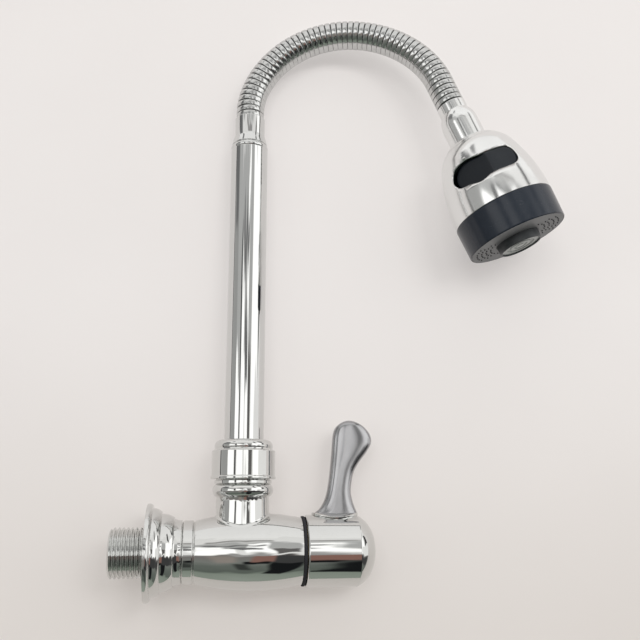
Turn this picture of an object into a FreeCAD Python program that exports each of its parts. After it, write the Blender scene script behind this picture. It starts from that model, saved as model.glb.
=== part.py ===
import FreeCAD, Part
import math
import os

from FreeCAD import Vector

# Wall tap for cold water with a turning spout, a ribbed gooseneck and a two-way spray head.
# All sizes are in millimetres. Z points up, and X points out of the wall along the body.
# The origin is on the body's axis, in the plane where the flange meets the wall.

X, Y, Z = Vector(1, 0, 0), Vector(0, 1, 0), Vector(0, 0, 1)

# Fits
running_gap = 0.05        # radial clearance of a part that turns or slides on another
seat_gap = 0.1            # between pieces of one body that are screwed or pushed together
free_gap = 0.3            # between moving pieces that don't guide each other

# Inlet shank, with the outside size of a half inch pipe thread
thread_r = 10.4775
thread_reach = 14.9
thread_chamfer = 0.9
shank_r = 9.9             # plain stretch of the shank, inside the flange
inlet_bore_r = 7.6

# Wall flange, a stepped bell pressed from sheet
flange_rim_r = 20.2
flange_depth = 14.8
flange_neck_r = 13.3
flange_wall = 1.1
flange_boss_r = 12.4      # the body's seat for the flange's neck
flange_seat = 4.0

# Body: a short collar behind the flange, then a barrel-shaped bulge
collar_end_x = 19.7
collar_r = 13.1
bulge_x = 43.0
bulge_r = 16.0
body_end_x = 65.7
body_end_r = 14.0
seat_x = 27.0
seat_wall = 3.0
seat_hole_r = 5.6
chamber_r = 9.6

# Tee neck and union nut, on the riser's axis
riser_x = 40.2
neck_r = 11.5
neck_bore_r = 6.8
bead_low_z = 22.7
bead_r = 13.2
bead_high_z = 28.4
disc_r = 12.5
disc_high_z = 29.8
thread_wall = 2.0
nut_r = 13.9
nut_lip = 0.35            # how far the nut's lower lip stands out
nut_low_z = 30.2
nut_edge_z = 42.6
nut_high_z = 47.2
nut_crown_r = 10.5
neck_high_z = 39.6
socket_depth = 13.5
glide_thick = 0.5

# Spout
riser_r = 8.7
riser_wall = 1.0
riser_low_z = 34.0
riser_length = 151.7
spigot_collar = 2.3
seal_high = 1.7
seal_deep = 1.5
ferrule_bead = 2.1
ferrule_cone = 5.4
ferrule_sleeve = 9.1
ferrule_plug = 9.0        # length of the ferrule's plug in the riser
barb_reach = 9.0          # length of either ferrule's barb in the hose

# Gooseneck hose
hose_r = 6.7
hose_groove_r = 6.12
hose_bore_r = 5.15
hose_seat = 9.8           # depth of the hose in the lower ferrule's sleeve
hose_straight = 13.4
rib_pitch = 2.726
groove_width = 0.85
groove_slope = 0.22
rib_count = 52
neck_turn = 158.2         # degrees from straight up to the head's axis
spout_swing = 12.66        # degrees from the body's axis, away from the wall side
bend_shape = (31.8, 20.9, 19.4, 18.5, 17.0, 19.0, 25.3)   # how sharply each stretch bends
tube_r = 3.8
tube_bore_r = 2.8
tube_end = 8.0            # how far the tube runs past either end of the hose's bare stretch

# Spray head, measured along its axis from the end of the hose
inlet_r = 6.9
inlet_high = 5.0
swivel_r = 8.8
swivel_low = 11.6
shell_top = 21.9
shell_shoulder_r = 10.2
shell_waist = 30.4
shell_waist_r = 18.0
shell_flank = 41.0
shell_flank_r = 21.3
shell_end = 58.9
shell_end_r = 23.2
shell_wall = 1.5
collar_end = 73.8
collar_taper = 0.3        # how much slimmer the collar ends than the shell
collar_wall = 1.6
plate_thick = 2.4
boss_r = 10.1
boss_proud = 4.0
boss_wall = 1.1
core_r = 9.4
core_bore_r = 3.2
ear_high = 1.6
ear_r = 1.9

# Mode rocker in its window, and the diverter that it moves
window_mid = 41.8
window_high = 13.7
window_half = 15.1
window_turn = -13.0       # degrees round the head, from square to the gooseneck's plane
window_outline = (        # shares of half the window's width and height: right, up, round by the left and below
    (1.00, -0.15), (0.95, 0.42), (0.82, 0.73), (0.62, 0.82), (0.30, 0.81), (0.00, 0.84), (-0.22, 0.94),
    (-0.43, 1.00), (-0.66, 0.93), (-0.84, 0.72), (-0.96, 0.35), (-1.00, -0.10), (-0.90, -0.55), (-0.75, -0.72),
    (-0.58, -0.79), (-0.42, -0.93), (-0.28, -1.00), (-0.13, -0.95), (0.05, -0.84), (0.30, -0.79), (0.54, -0.79),
    (0.80, -0.73), (0.95, -0.50))
rocker_gap = 0.35
finger_recess = 1.4       # room left free beside the left pad, for a fingertip
rocker_crest = 20.0       # from the head's axis to the ridge between the two pads
ridge_at = 3.7            # the ridge stands this far to the right of the pin
rocker_end = 13.4
rocker_back = 11.2
rocker_tilt = 6.0         # degrees from level, either way
pivot_reach = 13.2
pivot_r = 1.0
finger_width = 2.0
finger_tip = 1.7          # the finger ends this far from the head's axis
stem_r = 2.6
stem_length = 13.0
stem_neck_r = 1.5

# Handle
cap_r = 15.2
gasket_step = 0.6         # how far the gasket ring stays inside the cap's outside
gasket_thick = 1.3
cap_wall = 2.4
cap_edge_x = 89.6
cap_end_x = 97.4
tower_r = 7.2
tower_end_x = 72.6
spindle_r = 4.0
spindle_grip = 7.2        # length of the spindle in the handle's core
cap_web = 2.2             # room between the tower and the cap's web
grub_sink = 3.2           # depth of the grub screw's outer end below the cap's outside
cartridge_slim = 16.0     # length of the cartridge's slimmer front part
driver_room = 12.0        # length of the cartridge's room for the discs and the driver
disc_face_r = 7.3
disc_thick = 2.5
disc_port_r = 2.2
disc_port_at = 4.2
lever_thick = 6.6
lever_round = 2.1
lever_top_z = 56.4
lever_outline = (         # shares of the pad's length and of the lever's rise, from left foot to right foot
    (0.00, 0.00), (0.17, 0.06), (0.30, 0.18), (0.375, 0.36), (0.43, 0.61), (0.48, 0.86), (0.60, 0.955),
    (0.83, 1.00), (1.08, 0.96), (1.27, 0.87), (1.325, 0.77), (1.23, 0.67), (1.02, 0.53), (0.91, 0.42),
    (0.855, 0.25), (0.90, 0.12), (1.00, 0.00))
pad_rise = 0.9
pad_half = 7.2
grub_r = 2.0


def profile_face(steps):
    """A closed flat face in the XZ plane from (radius, height) points; a triple is an arc's middle and end."""
    edges = []
    first = here = Vector(steps[0][0], 0, steps[0][1])
    for step in steps[1:]:
        if len(step) == 4:
            middle, end = Vector(step[0], 0, step[1]), Vector(step[2], 0, step[3])
            edges.append(Part.Arc(here, middle, end).toShape())
        else:
            end = Vector(step[0], 0, step[1])
            edges.append(Part.makeLine(here, end))
        here = end
    edges.append(Part.makeLine(here, first))
    return Part.Face(Part.Wire(edges))


def turned(steps, place=None):
    """A solid of revolution about Z from (radius, height) steps, moved to its place."""
    solid = profile_face(steps).revolve(Vector(0, 0, 0), Z, 360)
    if place is not None:
        solid.Placement = place
    return solid


def ring(inner, outer, low, high, place=None):
    """A plain ring or bush."""
    return turned([(inner, low), (outer, low), (outer, high), (inner, high)], place)


def rod(radius, low, high, place=None):
    """A plain round bar."""
    return turned([(0, low), (radius, low), (radius, high), (0, high)], place)


# Places: along the body (heights become X), and up the riser
along_body = FreeCAD.Placement(Vector(0, 0, 0), FreeCAD.Rotation(Z, X))
up_riser = FreeCAD.Placement(Vector(riser_x, 0, 0), FreeCAD.Rotation())

pieces = {}

# Body with its inlet shank, bulge and tee neck
spigot_top_z = neck_high_z + glide_thick
neck_thread_r = nut_r - thread_wall
socket_r = neck_thread_r - thread_wall
flange_step_x = flange_depth - flange_seat
outside = turned([
    (0, -thread_reach), (thread_r - thread_chamfer, -thread_reach), (thread_r, thread_chamfer - thread_reach),
    (thread_r, 0), (shank_r, thread_r - shank_r), (shank_r, flange_step_x), (flange_boss_r, flange_step_x),
    (flange_boss_r, flange_depth + 0.3), (collar_r - 0.4, flange_depth + 0.3), (collar_r, flange_depth + 0.8),
    (collar_r, collar_end_x - 0.4),
    (collar_r - 0.5, collar_end_x + 0.1), (collar_r - 0.5, collar_end_x + 0.3), (collar_r - 0.1, collar_end_x + 0.6),
    (bulge_r, bulge_x, body_end_r, body_end_x), (0, body_end_x)], along_body)
neck = turned([
    (0, 0), (neck_r, 0), (neck_r, bead_low_z),
    (bead_r, bead_low_z + 2.4, disc_r - 0.8, bead_high_z), (disc_r, bead_high_z), (disc_r, disc_high_z),
    (neck_thread_r - seat_gap, disc_high_z), (neck_thread_r - seat_gap, neck_high_z), (0, neck_high_z)], up_riser)
waterway = turned([
    (0, -thread_reach), (inlet_bore_r, -thread_reach), (inlet_bore_r, seat_x), (seat_hole_r, seat_x),
    (seat_hole_r, seat_x + seat_wall), (chamber_r, seat_x + seat_wall), (chamber_r, body_end_x), (0, body_end_x)],
    along_body)
socket = turned([
    (0, 0), (neck_bore_r, 0), (neck_bore_r, neck_high_z - socket_depth), (socket_r, neck_high_z - socket_depth),
    (socket_r, neck_high_z), (0, neck_high_z)], up_riser)
pieces["tap_body"] = outside.fuse(neck).cut(waterway).cut(socket).removeSplitter()

# Wall flange: three rounded steps, open towards the wall
step_1, step_2, step_3 = flange_depth * 0.17, flange_depth * 0.43, flange_depth * 0.78
slope_r = flange_rim_r - flange_neck_r
pieces["wall_flange"] = turned([
    (flange_rim_r - flange_wall, 0), (flange_rim_r, 0), (flange_rim_r, step_1 * 0.35),
    (flange_rim_r - 0.3, step_1 * 0.75, flange_rim_r - slope_r * 0.2, step_1), (flange_rim_r - slope_r * 0.27, step_1),
    (flange_rim_r - slope_r * 0.33, (step_1 + step_2) / 2, flange_rim_r - slope_r * 0.53, step_2),
    (flange_rim_r - slope_r * 0.6, step_2),
    (flange_rim_r - slope_r * 0.66, (step_2 + step_3) / 2, flange_rim_r - slope_r * 0.84, step_3),
    (flange_rim_r - slope_r * 0.93, step_3),
    (flange_rim_r - slope_r * 0.99, (step_3 + flange_depth) / 2, flange_neck_r, flange_depth),
    (flange_boss_r + seat_gap, flange_depth), (flange_boss_r + seat_gap, step_3),
    (flange_rim_r - slope_r * 0.6 - flange_wall - 0.3, step_2), (flange_rim_r - flange_wall - 0.6, step_1 * 0.6)],
    along_body)

# Cartridge: brass housing, seat seal and the fixed disc
seal_x = seat_x + seat_wall
fixed_x = seal_x + 1.6
moving_x = fixed_x + disc_thick + running_gap
gasket_r = cap_r - gasket_step
shoulder_r = gasket_r - 2.3
slim_x, room_x = fixed_x + cartridge_slim, fixed_x + driver_room
housing = turned([
    (disc_face_r + seat_gap, fixed_x), (chamber_r - 1.0, fixed_x), (chamber_r - 1.0, slim_x),
    (chamber_r - seat_gap, slim_x + 1.0), (chamber_r - seat_gap, body_end_x), (shoulder_r, body_end_x),
    (shoulder_r, body_end_x + gasket_thick + 0.2), (tower_r, body_end_x + gasket_thick + 0.2), (tower_r, tower_end_x),
    (spindle_r + running_gap, tower_end_x), (spindle_r + running_gap, room_x),
    (disc_face_r + seat_gap, room_x)], along_body)
outlet_x = moving_x + disc_thick + 2.4
side_port = Part.makeCylinder(2.6, 4 * chamber_r, Vector(outlet_x, 0, -2 * chamber_r), Z)
seal_x_mid = body_end_x - 6.0
seal_groove = ring(spindle_r, spindle_r + seal_deep, seal_x_mid, seal_x_mid + seal_high, along_body)
pieces["cartridge_housing"] = housing.cut(side_port).cut(seal_groove)
pieces["seat_seal"] = ring(seat_hole_r + 0.3, chamber_r - 1.0, seal_x, fixed_x, along_body)
disc = rod(disc_face_r, fixed_x, fixed_x + disc_thick, along_body)
ports = [Part.makeCylinder(disc_port_r, 2 * disc_thick, Vector(fixed_x - 1, 0, side * disc_port_at), X)
         for side in (1, -1)]
pieces["fixed_disc"] = disc.cut(Part.makeCompound(ports))
pieces["spindle_seal"] = ring(spindle_r + running_gap, spindle_r + seal_deep - running_gap,
                              seal_x_mid + running_gap, seal_x_mid + seal_high - running_gap, along_body)
pieces["handle_gasket"] = turned([
    (shoulder_r + seat_gap, body_end_x), (gasket_r, body_end_x), (gasket_r, body_end_x + gasket_thick - 0.4),
    (gasket_r - 0.4, body_end_x + gasket_thick), (shoulder_r + seat_gap, body_end_x + gasket_thick)], along_body)

# Handle body: moving disc, spindle, clip, cap with lever and its grub screw
disc = rod(disc_face_r, moving_x, moving_x + disc_thick, along_body)
ports = [Part.makeCylinder(disc_port_r, 2 * disc_thick, Vector(moving_x - 1, side * disc_port_at, 0), X)
         for side in (1, -1)]
pieces["moving_disc"] = disc.cut(Part.makeCompound(ports))
web_x = tower_end_x + cap_web
spindle_end_x = web_x + spindle_grip
driver_x = moving_x + disc_thick
driver_end_x = room_x - running_gap
stem = rod(spindle_r, driver_x, spindle_end_x, along_body)
clip_groove = ring(spindle_r - 0.7, spindle_r + 1, tower_end_x + seat_gap, tower_end_x + seat_gap + 0.9, along_body)
driver = Part.makeBox(driver_end_x - driver_x, 4.0, 2 * disc_face_r - 1.0,
                      Vector(driver_x, -2.0, 0.5 - disc_face_r))
driver = driver.common(rod(disc_face_r, driver_x, driver_end_x, along_body))
pieces["spindle"] = stem.cut(clip_groove).fuse(driver).removeSplitter()
pieces["spindle_clip"] = ring(spindle_r - 0.65, spindle_r + 1.8, tower_end_x + seat_gap + 0.02,
                              tower_end_x + seat_gap + 0.88, along_body)

cap_x = body_end_x + gasket_thick + free_gap
cap_inner_r = cap_r - cap_wall
cap = turned([
    (cap_inner_r, cap_x), (cap_r - 0.5, cap_x), (cap_r, cap_x + 0.5), (cap_r, cap_edge_x),
    (cap_r * 0.77, cap_edge_x + 0.62 * (cap_end_x - cap_edge_x), 0, cap_end_x), (0, spindle_end_x + 0.4),
    (spindle_r + seat_gap / 2, spindle_end_x + 0.4), (spindle_r + seat_gap / 2, web_x), (cap_inner_r, web_x)],
    along_body)
pad_low_x, pad_high_x = cap_x + 3.0, cap_edge_x + 1.2
pad_mid_x, pad_long = (pad_low_x + pad_high_x) / 2, (pad_high_x - pad_low_x) / 2
pad_skin = ring(cap_r - 1.0, cap_r + pad_rise, pad_low_x - 2, pad_high_x + 2, along_body)
pad_shape = Part.makeCylinder(1.0, 3 * cap_r, Vector(0, 0, 0), Z)
stretch = FreeCAD.Matrix()
stretch.scale(pad_long, pad_half, 1.0)
pad_shape = pad_shape.transformGeometry(stretch)
pad_shape.translate(Vector(pad_mid_x, 0, 0))
pad = pad_skin.common(pad_shape)


def lever_point(across, up):
    """A point of the lever's outline: a share of its width from left to right, and a height above the axis."""
    return Vector(pad_low_x + across * (pad_high_x - pad_low_x), -lever_thick / 2, up)


lever_low_z = cap_r - 2.0
lever_rise = lever_top_z - cap_r
curve = Part.BSplineCurve()
curve.interpolate([lever_point(across, cap_r + up * lever_rise) for across, up in lever_outline])
left_foot, right_foot = lever_point(0.0, lever_low_z), lever_point(1.0, lever_low_z)
outline = [curve.toShape(), Part.makeLine(curve.EndPoint, right_foot), Part.makeLine(right_foot, left_foot),
           Part.makeLine(left_foot, curve.StartPoint)]
blade = Part.Face(Part.Wire(outline)).extrude(Vector(0, lever_thick, 0))
rims = [edge for edge in blade.Edges if edge.BoundBox.ZLength > lever_rise / 2]
blade = blade.makeFillet(lever_round, rims)
grub_x = (web_x + spindle_end_x) / 2
grub_hole = Part.makeCylinder(grub_r + seat_gap / 2, cap_r, Vector(grub_x, 0, -spindle_r + 0.5), -Z)
hollow = rod(cap_inner_r, cap_x - 1, web_x, along_body)
core_hole = rod(spindle_r + seat_gap / 2, web_x - 1, spindle_end_x + 0.4, along_body)
pieces["lever_handle"] = cap.fuse([pad, blade]).cut(hollow).cut(core_hole).cut(grub_hole).removeSplitter()
grub_reach = cap_r - grub_sink - spindle_r
pieces["grub_screw"] = Part.makeCylinder(grub_r, grub_reach, Vector(grub_x, 0, -spindle_r), -Z)

# Union nut and the glide ring under the spout's collar
collar_top_z = spigot_top_z + spigot_collar
pieces["union_nut"] = turned([
    (neck_thread_r, nut_low_z), (nut_r + nut_lip - 0.3, nut_low_z), (nut_r + nut_lip, nut_low_z + 0.3),
    (nut_r + nut_lip, nut_low_z + 1.1), (nut_r, nut_low_z + 1.5), (nut_r, nut_edge_z - 0.5),
    (nut_r - 0.15, nut_edge_z - 0.1, nut_r - 0.6, nut_edge_z), (nut_r - 1.0, nut_edge_z + 0.2),
    (nut_r - 1.2, nut_edge_z + 0.9), (nut_r - 1.5, nut_high_z - 1.2, nut_crown_r, nut_high_z),
    (riser_r + free_gap, nut_high_z), (riser_r + free_gap, collar_top_z + running_gap),
    (neck_thread_r, collar_top_z + running_gap)], up_riser)
pieces["glide_ring"] = ring(socket_r + 0.2, neck_thread_r - 0.3, neck_high_z, spigot_top_z - running_gap, up_riser)

# Spout: swivel spigot with two seals, riser tube, and the ferrule that carries the hose
spigot_r = socket_r - running_gap
spigot_low_z = neck_high_z - socket_depth + free_gap
seal_zs = [spigot_low_z + 1.8, spigot_low_z + 1.8 + 2.4 * seal_high]
spigot = turned([
    (neck_bore_r - 0.2, spigot_low_z), (spigot_r - 0.5, spigot_low_z), (spigot_r, spigot_low_z + 0.5),
    (spigot_r, spigot_top_z), (neck_thread_r - 0.3, spigot_top_z), (neck_thread_r - 0.3, collar_top_z),
    (riser_r + running_gap, collar_top_z), (riser_r + running_gap, riser_low_z), (neck_bore_r - 0.2, riser_low_z)],
    up_riser)
for index, low in enumerate(seal_zs):
    spigot = spigot.cut(ring(spigot_r - seal_deep, spigot_r + 1, low, low + seal_high, up_riser))
    name = ("lower", "upper")[index] + "_spout_seal"
    pieces[name] = ring(spigot_r - seal_deep + running_gap, spigot_r, low + running_gap,
                        low + seal_high - running_gap, up_riser)
pieces["swivel_spigot"] = spigot

riser_high_z = riser_low_z + riser_length
cone_high_z = riser_high_z + ferrule_bead + ferrule_cone
sleeve_high_z = cone_high_z + ferrule_sleeve
hose_low_z = sleeve_high_z - hose_seat
bead_mid_z = riser_high_z + ferrule_bead / 2
bead_end_z = riser_high_z + ferrule_bead
pieces["riser_tube"] = ring(riser_r - riser_wall, riser_r, riser_low_z, riser_high_z, up_riser)
plug_r = riser_r - riser_wall - seat_gap / 2
sleeve_r = hose_r + running_gap
barb_r = hose_bore_r - running_gap
cone_r = riser_r - 0.25
pieces["lower_ferrule"] = turned([
    (tube_r + running_gap, riser_high_z - ferrule_plug), (plug_r, riser_high_z - ferrule_plug), (plug_r, riser_high_z),
    (riser_r - 0.3, riser_high_z), (riser_r + 0.05, bead_mid_z, riser_r - 0.3, bead_end_z),
    (riser_r - 0.7, bead_end_z + 0.15), (riser_r - 0.7, bead_end_z + 0.4), (cone_r, bead_end_z + 0.6),
    ((cone_r + sleeve_r + 0.45) / 2 + 0.12, (bead_end_z + 0.6 + cone_high_z) / 2, sleeve_r + 0.45, cone_high_z),
    (sleeve_r + 0.45, sleeve_high_z - 0.2),
    (sleeve_r + 0.25, sleeve_high_z), (sleeve_r, sleeve_high_z), (sleeve_r, hose_low_z), (barb_r, hose_low_z),
    (barb_r, hose_low_z + barb_reach), (tube_r + running_gap, hose_low_z + barb_reach)], up_riser)

# The hose's route: straight, then bent in one upright plane, then straight again
swing = math.radians(spout_swing)
outward = Vector(math.cos(swing), -math.sin(swing), 0)
hinge_axis = Vector(math.sin(swing), math.cos(swing), 0)
hidden_length = sleeve_high_z - hose_low_z
hose_length = hidden_length + rib_count * rib_pitch
bend_start = hose_straight
bend_end = hose_length - hose_straight


def bend_rate(along):
    """How sharply the hose bends at a distance along it, before scaling to the whole turn."""
    if along <= bend_start or along >= bend_end:
        return 0.0
    place = (along - bend_start) / (bend_end - bend_start) * (len(bend_shape) - 1)
    index = min(int(place), len(bend_shape) - 2)
    share = place - index
    return bend_shape[index] * (1 - share) + bend_shape[index + 1] * share


steps_per_rib = 6
step_length = rib_pitch / steps_per_rib
hidden_steps = max(1, round(hidden_length / step_length))
lengths = [hidden_length / hidden_steps] * hidden_steps + [step_length] * (rib_count * steps_per_rib)
along, rates = 0.0, []
for length in lengths:
    rates.append(bend_rate(along + length / 2) * length)
    along += length
turn_scale = math.radians(neck_turn) / sum(rates)
here, angle = Vector(riser_x, 0, hose_low_z), 0.0
route = [(here, Z)]
for length, rate in zip(lengths, rates):
    middle = angle + rate * turn_scale / 2
    angle += rate * turn_scale
    here = here + (outward * math.sin(middle) + Z * math.cos(middle)) * length
    route.append((here, outward * math.sin(angle) + Z * math.cos(angle)))
rib_starts = [hidden_steps + count * steps_per_rib for count in range(rib_count + 1)]
hose_end, head_axis = route[-1]


def section(centre, direction, radius):
    """A circle square to the route, always started from the same side."""
    circle = Part.Circle(centre, direction, radius)
    circle.XAxis = hinge_axis
    return Part.Wire([circle.toShape()])


def route_at(rib, share):
    """Centre and direction part of the way along one rib."""
    place = rib_starts[rib] + share * steps_per_rib
    index = min(int(place), len(route) - 2)
    rest = place - index
    centre = route[index][0] * (1 - rest) + route[index + 1][0] * rest
    direction = route[index][1] * (1 - rest) + route[index + 1][1] * rest
    return centre, direction.normalize()


land = 1 - groove_width / rib_pitch
floor_start, floor_end = land + groove_slope / rib_pitch, 1 - groove_slope / rib_pitch
sections = [section(route[0][0], Z, hose_r)]
for rib in range(rib_count):
    if rib:
        sections.append(section(*route_at(rib, 0.0), hose_r))
    if rib < rib_count - 1:
        sections.append(section(*route_at(rib, land), hose_r))
        sections.append(section(*route_at(rib, floor_start), hose_groove_r))
        sections.append(section(*route_at(rib, floor_end), hose_groove_r))
sections.append(section(hose_end, head_axis, hose_r))
hose = Part.makeLoft(sections, True, True)
bore_marks = [route[0], route[hidden_steps]] + [route[start] for start in rib_starts[4::4]]
bore = Part.makeLoft([section(centre, direction, hose_bore_r) for centre, direction in bore_marks], True, True)
pieces["gooseneck_hose"] = hose.cut(bore)

# Water tube inside the hose, from socket to socket
tube_marks = [(Vector(riser_x, 0, riser_high_z - tube_end), Z), route[0], route[hidden_steps]]
tube_marks += [route[start] for start in rib_starts[4:-6:6] + [rib_starts[-5]]]
tube_marks += [route[-1], (hose_end + head_axis * tube_end, head_axis)]
outer = Part.makeLoft([section(centre, direction, tube_r) for centre, direction in tube_marks], True, True)
inner = Part.makeLoft([section(centre, direction, tube_bore_r) for centre, direction in tube_marks], True, True)
pieces["water_tube"] = outer.cut(inner)

# Spray head, modelled upright: its axis is Z, the hose's end is at zero and the window faces -Y
turn = math.radians(window_turn)
head_up = head_axis * -1
back = hinge_axis * math.cos(turn) + head_up.cross(hinge_axis) * math.sin(turn)
side = back.cross(head_up)
head_place = FreeCAD.Placement(FreeCAD.Matrix(
    side.x, back.x, head_up.x, hose_end.x, side.y, back.y, head_up.y, hose_end.y,
    side.z, back.z, head_up.z, hose_end.z, 0, 0, 0, 1))


def down(steps):
    """Turns distances below the hose's end into heights."""
    return [tuple(-value if place % 2 else value for place, value in enumerate(step)) for step in steps]


head = {}
core_top = shell_top + shell_wall + 0.2
washer_low = swivel_low + 5.0
head["upper_ferrule"] = turned(down([
    (tube_r + running_gap, -barb_reach), (barb_r, -barb_reach), (barb_r, free_gap), (inlet_r - 0.2, free_gap),
    (inlet_r, free_gap + 0.2), (inlet_r, inlet_high),
    (inlet_r + 0.66 * (swivel_r - inlet_r), inlet_high + 0.4 * (swivel_low - inlet_high), swivel_r, swivel_low),
    (swivel_r, core_top), (swivel_r - 1.5, core_top), (swivel_r - 1.5, washer_low - 1.5), (tube_r - 0.6, washer_low - 1.5),
    (tube_r - 0.6, tube_end + seat_gap), (tube_r + running_gap, tube_end + seat_gap)]))
head["inlet_washer"] = ring(tube_r - 0.6, swivel_r - 1.6, -washer_low, -washer_low + 1.5)

shell_outer = [
    (swivel_r + seat_gap, shell_top), (shell_shoulder_r, shell_top),
    (shell_waist_r - 3.2, (shell_top + shell_waist) / 2 - 0.7, shell_waist_r, shell_waist),
    (shell_flank_r, shell_flank, shell_end_r, shell_end)]
shell = turned(down(shell_outer + [
    (shell_end_r - shell_wall, shell_end),
    (shell_flank_r - shell_wall, shell_flank + 0.5, shell_waist_r - shell_wall, shell_waist + 0.8),
    (shell_waist_r - 4.4, (shell_top + shell_waist) / 2 + 1.4, shell_shoulder_r - 0.4, shell_top + shell_wall),
    (swivel_r + seat_gap, shell_top + shell_wall)]))


def slot_prism(right_half, left_half, high):
    """A bar along Y with the window's bean shape, through the shell's front wall."""
    front, rear = -1.4 * shell_end_r, -shell_wall - running_gap
    corners = [Vector(across * (right_half if across > 0 else left_half), front, up * high / 2 - window_mid)
               for across, up in window_outline]
    bean = Part.BSplineCurve()
    bean.interpolate(Points=corners, PeriodicFlag=True)
    return Part.Face(Part.Wire([bean.toShape()])).extrude(Vector(0, rear - front, 0))


head["head_shell"] = shell.cut(slot_prism(window_half, window_half, window_high))

collar_inner_r = shell_end_r - collar_wall
collar_low_r = shell_end_r - collar_taper
plate_low = collar_end - plate_thick
plate_r = collar_low_r - 0.6
head["collar_ring"] = turned(down([
    (collar_inner_r, shell_end + seat_gap), (shell_end_r - 0.1, shell_end + seat_gap), (shell_end_r + 0.1, shell_end + 0.5),
    (collar_low_r, collar_end - 0.4), (collar_low_r - 0.3, collar_end), (plate_r + seat_gap / 2, collar_end),
    (plate_r + seat_gap / 2, plate_low), (collar_inner_r, plate_low)]))
head["spray_plate"] = ring(boss_r + seat_gap, plate_r, -collar_end, -plate_low)

# Core with its cross bore for the diverter and its two ears for the rocker's pin
disc_low = shell_end + 4.0
core = turned(down([
    (0, washer_low), (swivel_r - 1.5 - running_gap, washer_low), (swivel_r - 1.5 - running_gap, core_top + 0.1),
    (core_r, core_top + 0.1), (core_r, disc_low - 2.0), (collar_inner_r - seat_gap, disc_low - 2.0),
    (collar_inner_r - seat_gap, disc_low), (boss_r - 2.0, disc_low), (boss_r - 2.0, plate_low), (0, plate_low)]))
ear_mids = (window_mid - window_high / 2 - ear_high / 2 - 0.2, window_mid + window_high / 2 + ear_high / 2 + 0.2)
for middle in ear_mids:
    tab = Part.makeBox(2 * ear_r, pivot_reach, ear_high, Vector(-ear_r, -pivot_reach, -middle - ear_high / 2))
    nose = Part.makeCylinder(ear_r, ear_high, Vector(0, -pivot_reach, -middle - ear_high / 2), Z)
    core = core.fuse([tab, nose])
ear_span = (-ear_mids[1] - ear_high / 2, -ear_mids[0] + ear_high / 2)
pin_hole = Part.makeCylinder(pivot_r, ear_span[1] - ear_span[0], Vector(0, -pivot_reach, ear_span[0]), Z)
core = core.removeSplitter().cut(pin_hole)
upper_way = rod(core_bore_r, -window_mid + stem_r + 1.0, -washer_low)
lower_way = rod(core_bore_r, -plate_low, -window_mid - stem_r - 1.0)
cross_bore = Part.makeCylinder(stem_r + running_gap, 4 * core_r, Vector(-2 * core_r, 0, -window_mid), X)
core = core.cut(upper_way).cut(lower_way).cut(cross_bore)
finger_room = finger_width / 2 + 2.6
core = core.cut(Part.makeBox(2 * finger_room, 2 * core_r, finger_width + 1.0,
                             Vector(-finger_room, -2 * core_r, -window_mid - finger_width / 2 - 0.5)))
head["head_core"] = core
head["rocker_pin"] = Part.makeCylinder(pivot_r - 0.02, ear_span[1] - ear_span[0], Vector(0, -pivot_reach, ear_span[0]), Z)

# Aerator housing, standing proud of the plate, with its insert
boss_end = collar_end + boss_proud
head["aerator_housing"] = turned(down([
    (boss_r - 2.0 + seat_gap, disc_low + seat_gap), (boss_r, disc_low + seat_gap), (boss_r, collar_end),
    (boss_r - 0.3, boss_end), (boss_r - boss_wall, boss_end), (boss_r - boss_wall, plate_low + 0.5),
    (boss_r - 2.0 + seat_gap, plate_low + 0.5)]))
insert_low = boss_end - 0.6
head["aerator_insert"] = turned(down([
    (0, plate_low + 0.9), (boss_r - boss_wall - seat_gap, plate_low + 0.9), (boss_r - boss_wall - seat_gap, insert_low),
    (6.6, insert_low), (6.4, insert_low - 0.5), (5.0, insert_low - 0.5), (4.8, insert_low), (0, insert_low)]))

# Rocker: two sloping pads that meet in a ridge, a barrel for the pin and a finger for the diverter
half = window_half - rocker_gap
pads = Part.Face(Part.makePolygon([
    Vector(ridge_at, -rocker_crest, 0), Vector(window_half, -rocker_end, 0), Vector(window_half, -rocker_back, 0),
    Vector(-window_half, -rocker_back, 0), Vector(-window_half, -rocker_end, 0), Vector(ridge_at, -rocker_crest, 0)]))
pads = pads.extrude(Vector(0, 0, -3 * window_mid))
rocker = slot_prism(half, half - finger_recess, window_high - 2 * rocker_gap).common(pads)
finger_low = -window_mid - finger_width / 2
finger = Part.makeBox(finger_width, pivot_reach - finger_tip, finger_width,
                      Vector(-finger_width / 2, -pivot_reach, finger_low))
rocker = rocker.fuse(finger).removeSplitter()
rocker = rocker.cut(Part.makeCylinder(pivot_r + running_gap, 2 * window_mid, Vector(0, -pivot_reach, -2 * window_mid), Z))
rocker.rotate(Vector(0, -pivot_reach, 0), Z, -rocker_tilt)
head["mode_rocker"] = rocker

# Diverter stem: slides across the head, carried by the finger in its waist
contact_arm = pivot_reach - (finger_tip + stem_r) / 2
shift = contact_arm * math.sin(math.radians(rocker_tilt))
waist_half = finger_width / 2 + 0.25
across = FreeCAD.Placement(Vector(shift, 0, -window_mid), FreeCAD.Rotation(Z, X))
head["diverter_stem"] = turned([
    (0, -stem_length / 2), (stem_r, -stem_length / 2), (stem_r, -waist_half), (stem_neck_r, -waist_half),
    (stem_neck_r, waist_half), (stem_r, waist_half), (stem_r, stem_length / 2), (0, stem_length / 2)], across)

for name, shape in head.items():
    shape.Placement = head_place.multiply(shape.Placement)
    pieces[name] = shape

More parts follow.
